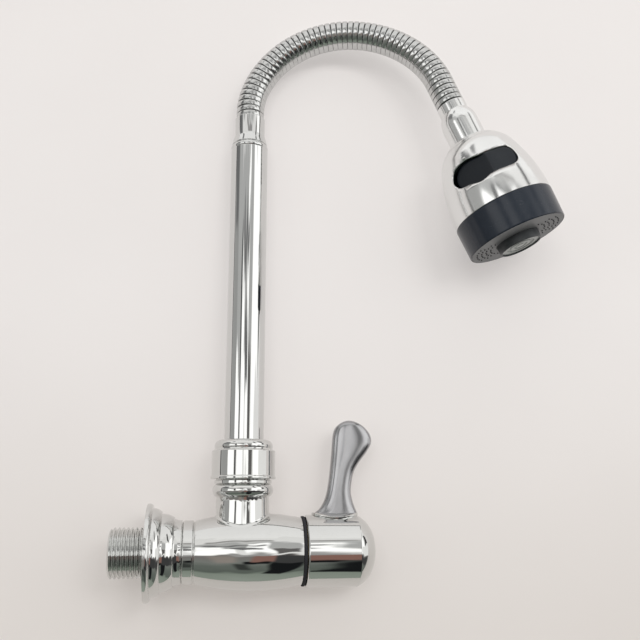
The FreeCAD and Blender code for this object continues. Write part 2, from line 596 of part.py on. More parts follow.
os.makedirs("parts", exist_ok=True)
for name, shape in pieces.items():
    shape.exportStep(f"parts/{name}.step")
bend_radii = [round(length / (rate * turn_scale), 1) for length, rate in zip(lengths, rates) if rate > 0]
print("joint places: pin at", head_place.multVec(Vector(0, -pivot_reach, -window_mid)), "head axis", head_up,
      "diverter axis", side, "diverter arm", contact_arm)
centre = sum((place[0] for place in route[1:]), Vector()) * (1 / (len(route) - 1))
print("middle of the hose", centre, "bend axis", hinge_axis)
print("pieces", len(pieces), "hose length", round(hose_length, 1), "smallest bend radius", min(bend_radii))
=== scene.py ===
import logging
import math
from dataclasses import dataclass, field
from enum import Enum
from typing import Callable, Mapping, Sequence

import bmesh
import bpy
import numpy as np
from mathutils import Matrix, Vector


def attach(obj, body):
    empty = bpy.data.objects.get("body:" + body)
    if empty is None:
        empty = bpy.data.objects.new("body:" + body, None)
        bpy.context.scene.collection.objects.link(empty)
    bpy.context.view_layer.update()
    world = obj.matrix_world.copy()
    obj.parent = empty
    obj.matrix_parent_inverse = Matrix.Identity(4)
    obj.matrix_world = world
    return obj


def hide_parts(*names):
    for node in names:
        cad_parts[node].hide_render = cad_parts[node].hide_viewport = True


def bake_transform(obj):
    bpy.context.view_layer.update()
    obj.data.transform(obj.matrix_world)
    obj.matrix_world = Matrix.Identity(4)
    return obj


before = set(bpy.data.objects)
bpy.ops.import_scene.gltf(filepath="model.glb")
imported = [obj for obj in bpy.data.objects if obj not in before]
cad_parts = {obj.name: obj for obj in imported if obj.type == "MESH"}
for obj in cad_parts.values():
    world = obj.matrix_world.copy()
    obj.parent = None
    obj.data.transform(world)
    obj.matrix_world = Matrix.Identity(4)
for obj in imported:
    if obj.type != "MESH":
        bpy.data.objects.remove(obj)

# A wall tap with a turning riser, a ribbed gooseneck and a two-way spray head, lying on a pale table.
# Sizes in the classes are millimetres; meshes are written in metres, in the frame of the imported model.

MM = 0.001
LOG = logging.getLogger("tap")
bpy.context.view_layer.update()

# Sizes that neighbouring sub-assemblies share, in millimetres
RISER_X = 40.2
BODY_END_X = 65.7
HOSE_LOW_Z = 192.5
SLEEVE_HIGH_Z = 202.3
BARB_R = 5.1
BARB_BORE_R = 3.85

# Tolerances: millimetres in outlines, metres in meshes
NO_LENGTH = 1e-9
ON_AXIS = 1e-6
MERGE_GAP = 2e-6
SLIVER = 1e-7

Steps = Sequence[tuple[float, ...]]
Profile = list[tuple[float, float]]
Colour = tuple[float, float, float]
Spot = tuple[Vector, Vector]
Socket = bpy.types.NodeSocket
Inputs = Mapping[str, bpy.types.NodeSocket]


class Axis(Enum):
    """The two straight lines that the tap's turned pieces stand on."""

    BODY = "along the body, out of the wall"
    RISER = "up the riser"


# Mesh building

def circle_through(start: tuple, middle: tuple, end: tuple) -> tuple[float, float, float] | None:
    """The circle through three points.

    Args:
        start: The first point.
        middle: The second point.
        end: The third point.

    Returns:
        The two coordinates of its centre and its radius, or None where the points are in line.
    """
    (ax, ay), (bx, by), (cx, cy) = start, middle, end
    area = 2 * (ax * (by - cy) + bx * (cy - ay) + cx * (ay - by))
    if abs(area) < NO_LENGTH:
        return None
    a2, b2, c2 = ax * ax + ay * ay, bx * bx + by * by, cx * cx + cy * cy
    ux = (a2 * (by - cy) + b2 * (cy - ay) + c2 * (ay - by)) / area
    uy = (a2 * (cx - bx) + b2 * (ax - cx) + c2 * (bx - ax)) / area
    return ux, uy, math.hypot(ax - ux, ay - uy)


def three_point_arc(start: tuple, middle: tuple, end: tuple, spread: float) -> Profile:
    """Points along the arc through three points, without its start.

    Args:
        start: First point of the arc.
        middle: A point that the arc passes through.
        end: Last point of the arc.
        spread: Largest angle between neighbouring points, in degrees.

    Returns:
        The points, ending with the arc's end.
    """
    circle = circle_through(start, middle, end)
    if circle is None:
        return [end]
    ux, uy, radius = circle
    first = math.atan2(start[1] - uy, start[0] - ux)
    turn_mid = (math.atan2(middle[1] - uy, middle[0] - ux) - first) % (2 * math.pi)
    turn = (math.atan2(end[1] - uy, end[0] - ux) - first) % (2 * math.pi)
    if turn_mid > turn:
        turn -= 2 * math.pi
    count = max(2, math.ceil(abs(math.degrees(turn)) / spread))
    return [(ux + radius * math.cos(first + turn * k / count), uy + radius * math.sin(first + turn * k / count))
            for k in range(1, count)] + [end]


def smooth_line(points: Sequence[tuple[float, float]], steps: int, closed: bool) -> Profile:
    """A smooth line through flat points.

    Args:
        points: The points that it passes through.
        steps: How many pieces each stretch is cut into.
        closed: Whether it comes back to its start.

    Returns:
        The points of the smooth line.
    """
    padded = [points[-1], *points, *points[:2]] if closed else [points[0], *points, points[-1]]
    line = []
    for k in range(len(padded) - 3):
        for t in (step / steps for step in range(steps)):
            line.append(tuple(0.5 * (2 * q + (r - p) * t + (2 * p - 5 * q + 4 * r - s) * t * t
                                     + (3 * q - p - 3 * r + s) * t ** 3) for p, q, r, s in zip(*padded[k:k + 4])))
    return line if closed else [*line, tuple(points[-1])]


def line_at(line: Profile, height: float) -> float:
    """Where a rising line stands at a height.

    Args:
        line: The line, from its foot up.
        height: The height.

    Returns:
        The place across; that of the line's first or last point outside its span.
    """
    if height <= line[0][1]:
        return line[0][0]
    for (ax, az), (bx, bz) in zip(line, line[1:]):
        if az <= height <= bz and bz > az:
            return ax + (bx - ax) * (height - az) / (bz - az)
    return line[-1][0]


def turns(count: int) -> list[float]:
    """Equal steps round a circle, in radians."""
    return [2 * math.pi * k / count for k in range(count)]


def outline(steps: Steps, spread: float = 5.0) -> Profile:
    """Turns (radius, height) steps, where four values are an arc's middle and end, into plain points.

    Args:
        steps: The steps, in millimetres.
        spread: Largest angle between neighbouring points of an arc, in degrees.

    Returns:
        The points of the closed outline.
    """
    points: Profile = [tuple(steps[0])]
    for step in steps[1:]:
        if len(step) == 4:
            points += three_point_arc(points[-1], tuple(step[:2]), tuple(step[2:]), spread)
        else:
            points.append(tuple(step))
    return points


def soften(points: Profile, radius: float, sharp: float = 25.0) -> Profile:
    """Rounds the corners of a closed outline, apart from those on the axis.

    Args:
        points: The outline.
        radius: How far the rounding reaches along each side, in millimetres.
        sharp: The least turn, in degrees, that counts as a corner.

    Returns:
        The outline with its corners rounded.
    """
    result: Profile = []
    count, pieces, most = len(points), 4, 0.45
    for index, here in enumerate(points):
        before, after = Vector(points[index - 1]), Vector(points[(index + 1) % count])
        place = Vector(here)
        one, two = before - place, after - place
        flat = min(one.length, two.length) < NO_LENGTH or math.degrees((-one).angle(two)) < sharp
        if flat or here[0] < ON_AXIS:
            result.append(here)
            continue
        reach = min(radius, one.length * most, two.length * most)
        start, end = place + one.normalized() * reach, place + two.normalized() * reach
        for share in (step / pieces for step in range(pieces + 1)):
            point = start * (1 - share) ** 2 + place * (2 * share * (1 - share)) + end * share ** 2
            result.append((point.x, point.y))
    return result


def make_piece(name: str, points: np.ndarray, faces: Sequence[Sequence[int]],
               normals: np.ndarray | None = None) -> bpy.types.Object:
    """Makes a mesh object from points in metres.

    Args:
        name: Name of the piece.
        points: One row to each point, in metres.
        faces: Corner numbers of each face, counter-clockwise from outside.
        normals: Shading normals, one to each point, or None to leave them to the mesh.

    Returns:
        The object, linked into the scene.
    """
    mesh = bpy.data.meshes.new(name)
    mesh.from_pydata([tuple(point) for point in points], [], [list(face) for face in faces])
    mesh.validate()
    mesh.polygons.foreach_set("use_smooth", [True] * len(mesh.polygons))
    if normals is not None:
        mesh.normals_split_custom_set_from_vertices([tuple(normal) for normal in normals])
    mesh.update()
    piece = bpy.data.objects.new(name, mesh)
    bpy.context.scene.collection.objects.link(piece)
    return piece


def lathe(name: str, profile: Profile, place: Matrix, segments: int = 128) -> bpy.types.Object:
    """Turns a closed outline about its axis, with shading that keeps flat walls flat.

    Args:
        name: Name of the piece.
        profile: Closed outline as (radius, height), in millimetres.
        place: Where the axis stands, in metres.
        segments: How many steps go round.

    Returns:
        The turned piece.
    """
    points = [tuple(p) for k, p in enumerate(profile) if k == 0 or math.dist(p, profile[k - 1]) > ON_AXIS]
    area = sum(a[0] * b[1] - b[0] * a[1] for a, b in zip(points, points[1:] + points[:1]))
    if area < 0:
        points.reverse()
    count = len(points)
    bends = []
    for index in range(count):
        total = Vector((0, 0))
        for a, b in ((points[index - 1], points[index]), (points[index], points[(index + 1) % count])):
            total += Vector((b[1] - a[1], a[0] - b[0]))
        bends.append(total.normalized() if total.length > 0 else Vector((1, 0)))
    rows, vertices, normals = [], [], []
    angles = np.linspace(0, 2 * math.pi, segments, endpoint=False)
    cosines, sines = np.cos(angles), np.sin(angles)
    for (radius, height), bend in zip(points, bends):
        if radius < ON_AXIS:
            rows.append([len(vertices)])
            vertices.append((0, 0, height))
            normals.append((0, 0, 1 if bend.y > 0 else -1))
            continue
        rows.append(list(range(len(vertices), len(vertices) + segments)))
        vertices += [(radius * c, radius * s, height) for c, s in zip(cosines, sines)]
        normals += [(bend.x * c, bend.x * s, bend.y) for c, s in zip(cosines, sines)]
    faces = []
    for index in range(count):
        low, high = rows[index], rows[(index + 1) % count]
        if len(low) == 1 and len(high) == 1:
            continue
        for k in range(segments):
            following = (k + 1) % segments
            if len(low) == 1:
                faces.append((low[0], high[following], high[k]))
            elif len(high) == 1:
                faces.append((low[k], low[following], high[0]))
            else:
                faces.append((low[k], low[following], high[following], high[k]))
    solid = np.array(vertices) * MM
    rotation = np.array(place.to_3x3())
    solid = solid @ rotation.T + np.array(place.translation)
    return make_piece(name, solid, faces, np.array(normals) @ rotation.T)


def skin(rows: int, count: int) -> list[tuple[int, ...]]:
    """Faces between rows of points that each close round.

    Args:
        rows: How many rows there are.
        count: How many points each has.

    Returns:
        The faces' corner numbers.
    """
    faces = []
    for start in range(0, (rows - 1) * count, count):
        for k in range(count):
            a, b = start + k, start + (k + 1) % count
            faces.append((a, b, b + count, a + count))
    return faces


def loft(name: str, rings: Sequence[Sequence[Vector]], closed_ends: bool = True) -> bpy.types.Object:
    """Joins rings of points, each with the same count, into a closed skin.

    Args:
        name: Name of the piece.
        rings: Rings of points in metres, each turning the same way.
        closed_ends: Whether the first and last ring are closed with a fan.

    Returns:
        The lofted piece.
    """
    count = len(rings[0])
    points = [tuple(point) for ring in rings for point in ring]
    faces = skin(len(rings), count)
    if closed_ends:
        for row, flip in ((0, True), (len(rings) - 1, False)):
            middle = sum((Vector(point) for point in rings[row]), Vector()) / count
            points.append(tuple(middle))
            last = len(points) - 1
            for k in range(count):
                a, b = row * count + k, row * count + (k + 1) % count
                faces.append((b, a, last) if flip else (a, b, last))
    piece = make_piece(name, np.array(points), faces)
    tidy(piece)
    return piece


def tidy(piece: bpy.types.Object, sharp: float = 35.0) -> None:
    """Merges doubled points, turns every face outwards and marks the sharp edges of a piece.

    Args:
        piece: The piece to tidy.
        sharp: The least angle, in degrees, that keeps an edge sharp.
    """
    work = bmesh.new()
    work.from_mesh(piece.data)
    bmesh.ops.remove_doubles(work, verts=work.verts, dist=MERGE_GAP)
    bmesh.ops.dissolve_degenerate(work, dist=SLIVER, edges=work.edges)
    bmesh.ops.recalc_face_normals(work, faces=work.faces)
    for face in work.faces:
        face.smooth = True
    work.to_mesh(piece.data)
    work.free()
    piece.data.set_sharp_from_angle(angle=math.radians(sharp))


def stand(axis: Axis) -> Matrix:
    """Where a turned piece stands.

    Args:
        axis: The line that it is turned about.

    Returns:
        The place, in metres.
    """
    if axis is Axis.BODY:
        return Matrix.Rotation(math.radians(90), 4, "Y")
    return Matrix.Translation((RISER_X * MM, 0, 0))


# Shader and geometry trees

class Sheet:
    """Adds nodes to one tree and joins them, so that each tree reads as a list of steps."""

    def __init__(self, tree: bpy.types.NodeTree) -> None:
        """Takes the tree to draw on."""
        self.tree = tree

    def add(self, kind: str, inputs: dict | None = None, **settings: object) -> bpy.types.Node:
        """Adds one node.

        Args:
            kind: The node's type name.
            inputs: What goes into it, by name or number: a value, or the output of another node.
            **settings: Properties of the node.

        Returns:
            The node.
        """
        node = self.tree.nodes.new(kind)
        for key, value in settings.items():
            setattr(node, key, value)
        for key, value in (inputs or {}).items():
            if isinstance(value, bpy.types.NodeSocket):
                self.tree.links.new(value, node.inputs[key])
            else:
                node.inputs[key].default_value = value
        return node

    def place(self) -> Socket:
        """Where a point lies on its piece."""
        return self.add("ShaderNodeTexCoord").outputs["Object"]

    def maths(self, operation: str, *terms: Socket | float, clamp: bool = False) -> Socket:
        """Adds a sum.

        Args:
            operation: The kind of sum.
            *terms: Its terms: numbers, or outputs of other nodes.
            clamp: Whether the result is kept between 0 and 1.

        Returns:
            The result.
        """
        return self.add("ShaderNodeMath", dict(enumerate(terms)), operation=operation, use_clamp=clamp).outputs[0]

    def remap(self, value: Socket, low: float, high: float, to_low: float = 0.0, to_high: float = 1.0,
              smooth: bool = False) -> Socket:
        """Spreads a range of values over another.

        Args:
            value: The value.
            low: Start of its range.
            high: End of its range.
            to_low: What the start becomes.
            to_high: What the end becomes.
            smooth: Whether the ends are eased.

        Returns:
            The spread value.
        """
        return self.add("ShaderNodeMapRange", {
            "Value": value, "From Min": low, "From Max": high, "To Min": to_low, "To Max": to_high},
            interpolation_type="SMOOTHSTEP" if smooth else "LINEAR").outputs["Result"]

    def noise(self, place: Socket, scale: Socket | float, detail: float, roughness: float = 0.5) -> Socket:
        """Adds a soft random pattern.

        Args:
            place: Where it is read.
            scale: How fine it is.
            detail: How many finer patterns lie in it.
            roughness: How strong these are.

        Returns:
            The pattern's value.
        """
        return self.add("ShaderNodeTexNoise", {
            "Vector": place, "Scale": scale, "Detail": detail, "Roughness": roughness}).outputs["Fac"]

    def blend(self, share: Socket, first: Socket | Colour, second: Socket | Colour) -> Socket:
        """Mixes two colours.

        Args:
            share: How much of the second there is.
            first: The first colour.
            second: The second colour.

        Returns:
            The mixed colour.
        """
        one, two = (value if isinstance(value, bpy.types.NodeSocket) else (*value, 1) for value in (first, second))
        return self.add("ShaderNodeMix", {0: share, 6: one, 7: two}, data_type="RGBA").outputs[2]

    def bump(self, height: Socket, depth: float, strength: float = 1.0, under: Socket | None = None) -> Socket:
        """Turns a height into a normal.

        Args:
            height: The height, from 0 to 1.
            depth: How high 1 stands, in metres.
            strength: How much of it shows.
            under: The normal that it lies on, if it isn't the surface's own.

        Returns:
            The normal.
        """
        base = {} if under is None else {"Normal": under}
        return self.add("ShaderNodeBump", {
            "Height": height, "Distance": depth, "Strength": strength, **base}).outputs["Normal"]


def plating_waves(sheet: Sheet, given: Inputs) -> Socket:
    """The slow unevenness that polishing leaves under bright plating.

    Args:
        sheet: The effect's sheet.
        given: Its inputs.

    Returns:
        The height.
    """
    waves = sheet.noise(sheet.place(), given["Scale"], detail=2.0, roughness=0.4)
    return sheet.maths("MULTIPLY", waves, given["Strength"])


def fine_scratches(sheet: Sheet, given: Inputs) -> Socket:
    """Thin scratches in two directions.

    Args:
        sheet: The effect's sheet.
        given: Its inputs.

    Returns:
        The mask.
    """
    place, masks = sheet.place(), []
    for turn, stretch in (((0.3, 0.5, 0.9), (1.0, 0.06, 1.0)), ((1.1, 0.2, 2.3), (0.05, 1.0, 1.0))):
        turned = sheet.add("ShaderNodeMapping", {"Vector": place, "Rotation": turn, "Scale": stretch})
        lines = sheet.noise(turned.outputs["Vector"], given["Scale"], detail=1.0)
        masks.append(sheet.remap(lines, low=0.66, high=0.74))
    return sheet.maths("MULTIPLY", sheet.maths("MAXIMUM", *masks), given["Amount"])


def handling_marks(sheet: Sheet, given: Inputs) -> Socket:
    """Soft smudges and dust left by handling.

    Args:
        sheet: The effect's sheet.
        given: Its inputs.

    Returns:
        The mask.
    """
    place = sheet.place()
    cloud = sheet.remap(sheet.noise(place, given["Scale"], detail=5.0, roughness=0.65), low=0.48, high=0.78)
    specks = sheet.add("ShaderNodeTexVoronoi", {
        "Vector": place, "Scale": sheet.maths("MULTIPLY", given["Scale"], 9.0), "Randomness": 1.0})
    dots = sheet.remap(specks.outputs["Distance"], low=0.10, high=0.04)
    return sheet.maths("MULTIPLY", sheet.maths("MAXIMUM", cloud, dots), given["Amount"])


def moulded_grain(sheet: Sheet, given: Inputs) -> Socket:
    """The fine matt grain of a spark-finished mould.

    Args:
        sheet: The effect's sheet.
        given: Its inputs.

    Returns:
        The height.
    """
    place = sheet.place()
    cells = sheet.add("ShaderNodeTexVoronoi", {"Vector": place, "Scale": given["Scale"]}, feature="SMOOTH_F1")
    total = sheet.maths("ADD", cells.outputs["Distance"], sheet.noise(place, given["Scale"], detail=4.0))
    return sheet.maths("MULTIPLY", total, given["Strength"])


def area_mask(sheet: Sheet, given: Inputs) -> Socket:
    """One area of the room with soft edges.

    Args:
        sheet: The effect's sheet.
        given: Its inputs, in degrees.

    Returns:
        The mask.
    """
    mask = None
    for value, low, high in (("Azimuth", "Left", "Right"), ("Elevation", "Low", "High")):
        for edge, sign in ((low, 1.0), (high, -1.0)):
            gap = sheet.maths("DIVIDE", sheet.maths("SUBTRACT", given[value], given[edge]), given["Soft"])
            side = sheet.remap(gap, -sign, sign, smooth=True)
            mask = side if mask is None else sheet.maths("MULTIPLY", mask, side)
    return mask


@dataclass(frozen=True)
class Effect:
    """A shader effect that several materials share: a node group with named inputs and one output."""

    draw: Callable[[Sheet, Inputs], Socket]
    output: str
    inputs: dict[str, float]

    def tree(self) -> bpy.types.NodeTree:
        """Builds the effect's group, once.

        Returns:
            The group's tree.
        """
        name = self.draw.__name__
        tree = bpy.data.node_groups.get(name)
        if tree:
            return tree
        tree = bpy.data.node_groups.new(name, "ShaderNodeTree")
        for key, value in self.inputs.items():
            tree.interface.new_socket(key, in_out="INPUT", socket_type="NodeSocketFloat").default_value = value
        tree.interface.new_socket(self.output, in_out="OUTPUT", socket_type="NodeSocketFloat")
        sheet = Sheet(tree)
        given = sheet.add("NodeGroupInput").outputs
        sheet.add("NodeGroupOutput", {self.output: self.draw(sheet, given)})
        return tree

    def place(self, sheet: Sheet, **values: Socket | float) -> Socket:
        """Places the effect on a sheet.

        Args:
            sheet: The sheet of a material or of the world.
            **values: Its inputs: numbers, or outputs of other nodes.

        Returns:
            The effect's output.
        """
        return sheet.add("ShaderNodeGroup", values, node_tree=self.tree()).outputs[self.output]


PLATING_WAVES = Effect(plating_waves, "Height", {"Scale": 90.0, "Strength": 1.0})
FINE_SCRATCHES = Effect(fine_scratches, "Mask", {"Scale": 2600.0, "Amount": 1.0})
HANDLING_MARKS = Effect(handling_marks, "Mask", {"Scale": 60.0, "Amount": 1.0})
MOULDED_GRAIN = Effect(moulded_grain, "Height", {"Scale": 3000.0, "Strength": 1.0})
AREA_MASK = Effect(area_mask, "Mask", {"Azimuth": 0.0, "Elevation": 0.0, "Left": -10.0, "Right": 10.0,
                                       "Low": -10.0, "High": 10.0, "Soft": 1.0})


# Finishes

def blank_material(name: str) -> tuple[bpy.types.Material, Sheet]:
    """Makes an empty node material.

    Args:
        name: Name of the material.

    Returns:
        The material and its sheet.
    """
    material = bpy.data.materials.new(name)
    material.use_nodes = True
    material.node_tree.nodes.clear()
    return material, Sheet(material.node_tree)


@dataclass(frozen=True)
class Finish:
    """What every finish of the tap has: a colour, a gloss, and marks that vary them."""

    name: str
    slot: str
    colour: Colour
    shade: Colour
    metallic: float = 0.0
    roughness: float = 0.4
    worn_roughness: float = 0.5
    marks_scale: float = 60.0
    marks: float = 0.6
    scratches: float = 0.3
    wave_scale: float = 90.0
    wave_depth: float = 0.00002
    grain_scale: float = 0.0
    grain_depth: float = 0.0
    specular: float = 0.5

    def material(self) -> bpy.types.Material:
        """Builds the finish's material, once.

        Returns:
            The material.
        """
        found = bpy.data.materials.get(self.name)
        if found:
            return found
        material, sheet = blank_material(self.name)
        marks = HANDLING_MARKS.place(sheet, Scale=self.marks_scale, Amount=self.marks)
        scratches = FINE_SCRATCHES.place(sheet, Amount=self.scratches)
        worn = sheet.maths("ADD", marks, scratches, clamp=True)
        normal = sheet.bump(PLATING_WAVES.place(sheet, Scale=self.wave_scale), self.wave_depth)
        if self.grain_depth:
            grain = MOULDED_GRAIN.place(sheet, Scale=self.grain_scale)
            normal = sheet.bump(grain, self.grain_depth, under=normal)
        shader = sheet.add("ShaderNodeBsdfPrincipled", {
            "Base Color": sheet.blend(worn, self.colour, self.shade), "Metallic": self.metallic,
            "Roughness": sheet.remap(worn, 0.0, 1.0, self.roughness, self.worn_roughness),
            "Specular IOR Level": self.specular, "Normal": normal})
        sheet.add("ShaderNodeOutputMaterial", {"Surface": shader.outputs[0]})
        material.diffuse_color = (*self.colour, 1)
        return material


@dataclass(frozen=True)
class Chrome(Finish):
    """Bright plating over polished metal."""

    metallic: float = 1.0
    roughness: float = 0.035
    marks_scale: float = 50.0
    marks: float = 0.35
    scratches: float = 0.25
    wave_scale: float = 60.0
    wave_depth: float = 0.00004


@dataclass(frozen=True)
class Rubber(Finish):
    """Soft black or grey rubber with a fine grain."""

    worn_roughness: float = 0.7
    marks_scale: float = 120.0
    marks: float = 0.5
    scratches: float = 0.0
    grain_scale: float = 2500.0
    grain_depth: float = 0.00002


@dataclass(frozen=True)
class Moulded(Finish):
    """Moulded plastic, grained where it has a depth for it."""

    marks_scale: float = 90.0
    marks: float = 0.5
    scratches: float = 0.2
    grain_scale: float = 4200.0


BODY_CHROME = Chrome("body_chrome", "chrome_body", (0.68, 0.685, 0.675), (0.60, 0.60, 0.585), worn_roughness=0.11,
                     marks_scale=45.0, wave_scale=70.0, wave_depth=0.00006)
TUBE_CHROME = Chrome("tube_chrome", "chrome_tube", (0.67, 0.675, 0.67), (0.60, 0.60, 0.59), worn_roughness=0.12)
# Painted light: the head's chrome is made lighter than the body's, standing in for the light on the bell.
HEAD_CHROME_PAINTED_LIGHT = Chrome("head_chrome_painted_light", "chrome_tube", (0.80, 0.805, 0.80), (0.76, 0.76, 0.755), roughness=0.15,
                     worn_roughness=0.22)
# Painted shade: the lever shares the cap's plating but gets a much darker chrome, standing in for shade on it.
LEVER_CHROME_PAINTED_SHADE = Chrome("lever_chrome_painted_shade", "chrome_body", (0.40, 0.40, 0.41), (0.36, 0.36, 0.37), roughness=0.19,
                      worn_roughness=0.27, marks_scale=45.0, marks=0.4, scratches=0.3, wave_depth=0.00006)
RIB_STEEL = Finish("rib_steel", "ribbed_steel", (0.60, 0.605, 0.60), (0.46, 0.465, 0.46), metallic=1.0,
                   roughness=0.13, worn_roughness=0.30, marks_scale=300.0, marks=0.8, scratches=0.6, wave_scale=500.0,
                   wave_depth=0.00003)
# Painted shade: the steel between the ribs is near black, standing in for the shade in the grooves.
GROOVE_PAINTED_SHADE = Finish("groove_steel_painted_shade", "ribbed_steel", (0.055, 0.06, 0.06), (0.03, 0.03, 0.03), metallic=0.6,
                      roughness=0.5, worn_roughness=0.7, marks_scale=200.0, scratches=0.2)
PLAIN_STEEL = Finish("plain_steel", "spring_steel", (0.42, 0.42, 0.43), (0.30, 0.30, 0.30), metallic=1.0,
                     roughness=0.25, worn_roughness=0.4)
PLAIN_BRASS = Finish("plain_brass", "plain_brass", (0.74, 0.56, 0.27), (0.55, 0.40, 0.20), metallic=1.0,
                     roughness=0.22, worn_roughness=0.38)
BLACK_RUBBER = Rubber("black_rubber", "black_rubber", (0.014, 0.014, 0.015), (0.04, 0.04, 0.04), roughness=0.45)
TUBE_RUBBER = Rubber("tube_rubber", "tube_rubber", (0.10, 0.10, 0.11), (0.16, 0.16, 0.16), roughness=0.5)
WHITE_CERAMIC = Finish("white_ceramic", "white_ceramic", (0.84, 0.83, 0.80), (0.76, 0.75, 0.72), roughness=0.12,
                       worn_roughness=0.3)
WHITE_PLASTIC = Finish("white_plastic", "white_plastic", (0.80, 0.80, 0.77), (0.70, 0.70, 0.66), roughness=0.45,
                       worn_roughness=0.6)
CORE_PLASTIC = Moulded("core_plastic", "core_plastic", (0.03, 0.03, 0.033), (0.06, 0.06, 0.06), roughness=0.5,
                       worn_roughness=0.65, scratches=0.1, grain_scale=3500.0, grain_depth=0.00001)
COLLAR_GLOSS = Finish("collar_gloss", "dark_gloss", (0.011, 0.017, 0.028), (0.022, 0.029, 0.040), roughness=0.22,
                      worn_roughness=0.34, marks_scale=70.0, marks=0.5, wave_scale=60.0, wave_depth=0.00004,
                      specular=0.42)
FACE_PLASTIC = Moulded("face_plastic", "grey_plastic", (0.135, 0.14, 0.148), (0.18, 0.185, 0.19), roughness=0.42,
                       worn_roughness=0.55, grain_depth=0.000012)
BOSS_PLASTIC = Moulded("boss_plastic", "dark_plastic", (0.030, 0.035, 0.038), (0.06, 0.065, 0.07), roughness=0.36,
                       grain_depth=0.000008)
GRILLE_PLASTIC = Finish("grille_plastic", "silver_plastic", (0.36, 0.38, 0.37), (0.44, 0.46, 0.45), metallic=0.2,
                        roughness=0.3, worn_roughness=0.45)
NOZZLE_RUBBER = Finish("nozzle_rubber", "grey_plastic", (0.02, 0.022, 0.025), (0.04, 0.04, 0.045), roughness=0.5,
                       worn_roughness=0.65)
ROCKER_PLASTIC = Moulded("rocker_plastic", "rocker_black", (0.011, 0.014, 0.019), (0.020, 0.024, 0.029),
                         roughness=0.34, worn_roughness=0.48, grain_depth=0.000004, specular=0.38)
LINER_PLASTIC = Moulded("liner_plastic", "dark_gloss", (0.018, 0.024, 0.022), (0.03, 0.035, 0.033), roughness=0.25,
                        worn_roughness=0.4)

NODE_FINISHES: dict[str, Finish] = {
    "seat_seal": BLACK_RUBBER, "spindle_seal": BLACK_RUBBER, "lower_spout_seal": BLACK_RUBBER,
    "upper_spout_seal": BLACK_RUBBER, "inlet_washer": BLACK_RUBBER, "fixed_disc": WHITE_CERAMIC,
    "moving_disc": WHITE_CERAMIC, "glide_ring": WHITE_PLASTIC, "cartridge_housing": PLAIN_BRASS,
    "spindle": PLAIN_BRASS, "swivel_spigot": PLAIN_BRASS, "diverter_stem": PLAIN_BRASS,
    "spindle_clip": PLAIN_STEEL, "rocker_pin": PLAIN_STEEL, "head_core": CORE_PLASTIC,
    "grub_screw": PLAIN_STEEL,
}


# Repeated shapes and dressing

def plain_mesh(piece: bpy.types.Object) -> bpy.types.Mesh:
    """Takes the mesh of a piece as its modifiers leave it.

    Args:
        piece: The piece.

    Returns:
        The mesh, as a new one.
    """
    bpy.context.view_layer.update()
    graph = bpy.context.evaluated_depsgraph_get()
    return bpy.data.meshes.new_from_object(piece.evaluated_get(graph))


@dataclass(frozen=True)
class Repeat:
    """A small shape that geometry nodes set on many places, each turned to its own direction."""

    name: str
    finish: Finish
    sizes: dict[str, float]
    draw: Callable[[Sheet, Inputs], Socket]

    def tree(self) -> bpy.types.NodeTree:
        """Builds the geometry nodes, with the shape's sizes and its finish as named inputs.

        Returns:
            The tree.
        """
        tree = bpy.data.node_groups.new(self.name, "GeometryNodeTree")
        kinds = {"Geometry": "Geometry", **dict.fromkeys(self.sizes, "Float"), "Finish": "Material"}
        for key, kind in kinds.items():
            tree.interface.new_socket(key, in_out="INPUT", socket_type="NodeSocket" + kind)
        tree.interface.new_socket("Geometry", in_out="OUTPUT", socket_type="NodeSocketGeometry")
        sheet = Sheet(tree)
        given = sheet.add("NodeGroupInput").outputs
        points = sheet.add("GeometryNodeMeshToPoints", {0: given["Geometry"]})
        heading = sheet.add("GeometryNodeInputNamedAttribute", {"Name": "heading"}, data_type="FLOAT_VECTOR")
        aim = sheet.add("FunctionNodeAlignRotationToVector", {"Vector": heading.outputs["Attribute"]}, axis="Z")
        placed = sheet.add("GeometryNodeInstanceOnPoints", {
            "Points": points.outputs[0], "Instance": self.draw(sheet, given), "Rotation": aim.outputs[0]})
        real = sheet.add("GeometryNodeRealizeInstances", {0: placed.outputs[0]})
        dressed = sheet.add("GeometryNodeSetMaterial", {"Geometry": real.outputs[0], "Material": given["Finish"]})
        sheet.add("NodeGroupOutput", {"Geometry": dressed.outputs[0]})
        return tree

    def settle(self, spots: Sequence[Spot]) -> bpy.types.Object:
        """Sets the shape on its places and keeps the result as a plain mesh.

        Args:
            spots: The places, in metres, and the direction at each.

        Returns:
            The finished piece.
        """
        mesh = bpy.data.meshes.new(self.name + "_places")
        mesh.from_pydata([tuple(place) for place, _ in spots], [], [])
        heading = mesh.attributes.new("heading", "FLOAT_VECTOR", "POINT")
        heading.data.foreach_set("vector", [value for _, way in spots for value in way])
        carrier = bpy.data.objects.new(self.name + "_carrier", mesh)
        bpy.context.scene.collection.objects.link(carrier)
        modifier = carrier.modifiers.new(self.name, "NODES")
        modifier.node_group = self.tree()
        keys = {item.name: item.identifier for item in modifier.node_group.interface.items_tree
                if item.item_type == "SOCKET" and item.in_out == "INPUT"}
        for key, value in self.sizes.items():
            modifier[keys[key]] = value * MM
        modifier[keys["Finish"]] = self.finish.material()
        solid = plain_mesh(carrier)
        solid.name = self.name
        piece = bpy.data.objects.new(self.name, solid)
        bpy.context.scene.collection.objects.link(piece)
        carrier.modifiers.clear()
        bpy.data.objects.remove(carrier)
        tidy(piece, 50.0)
        return piece


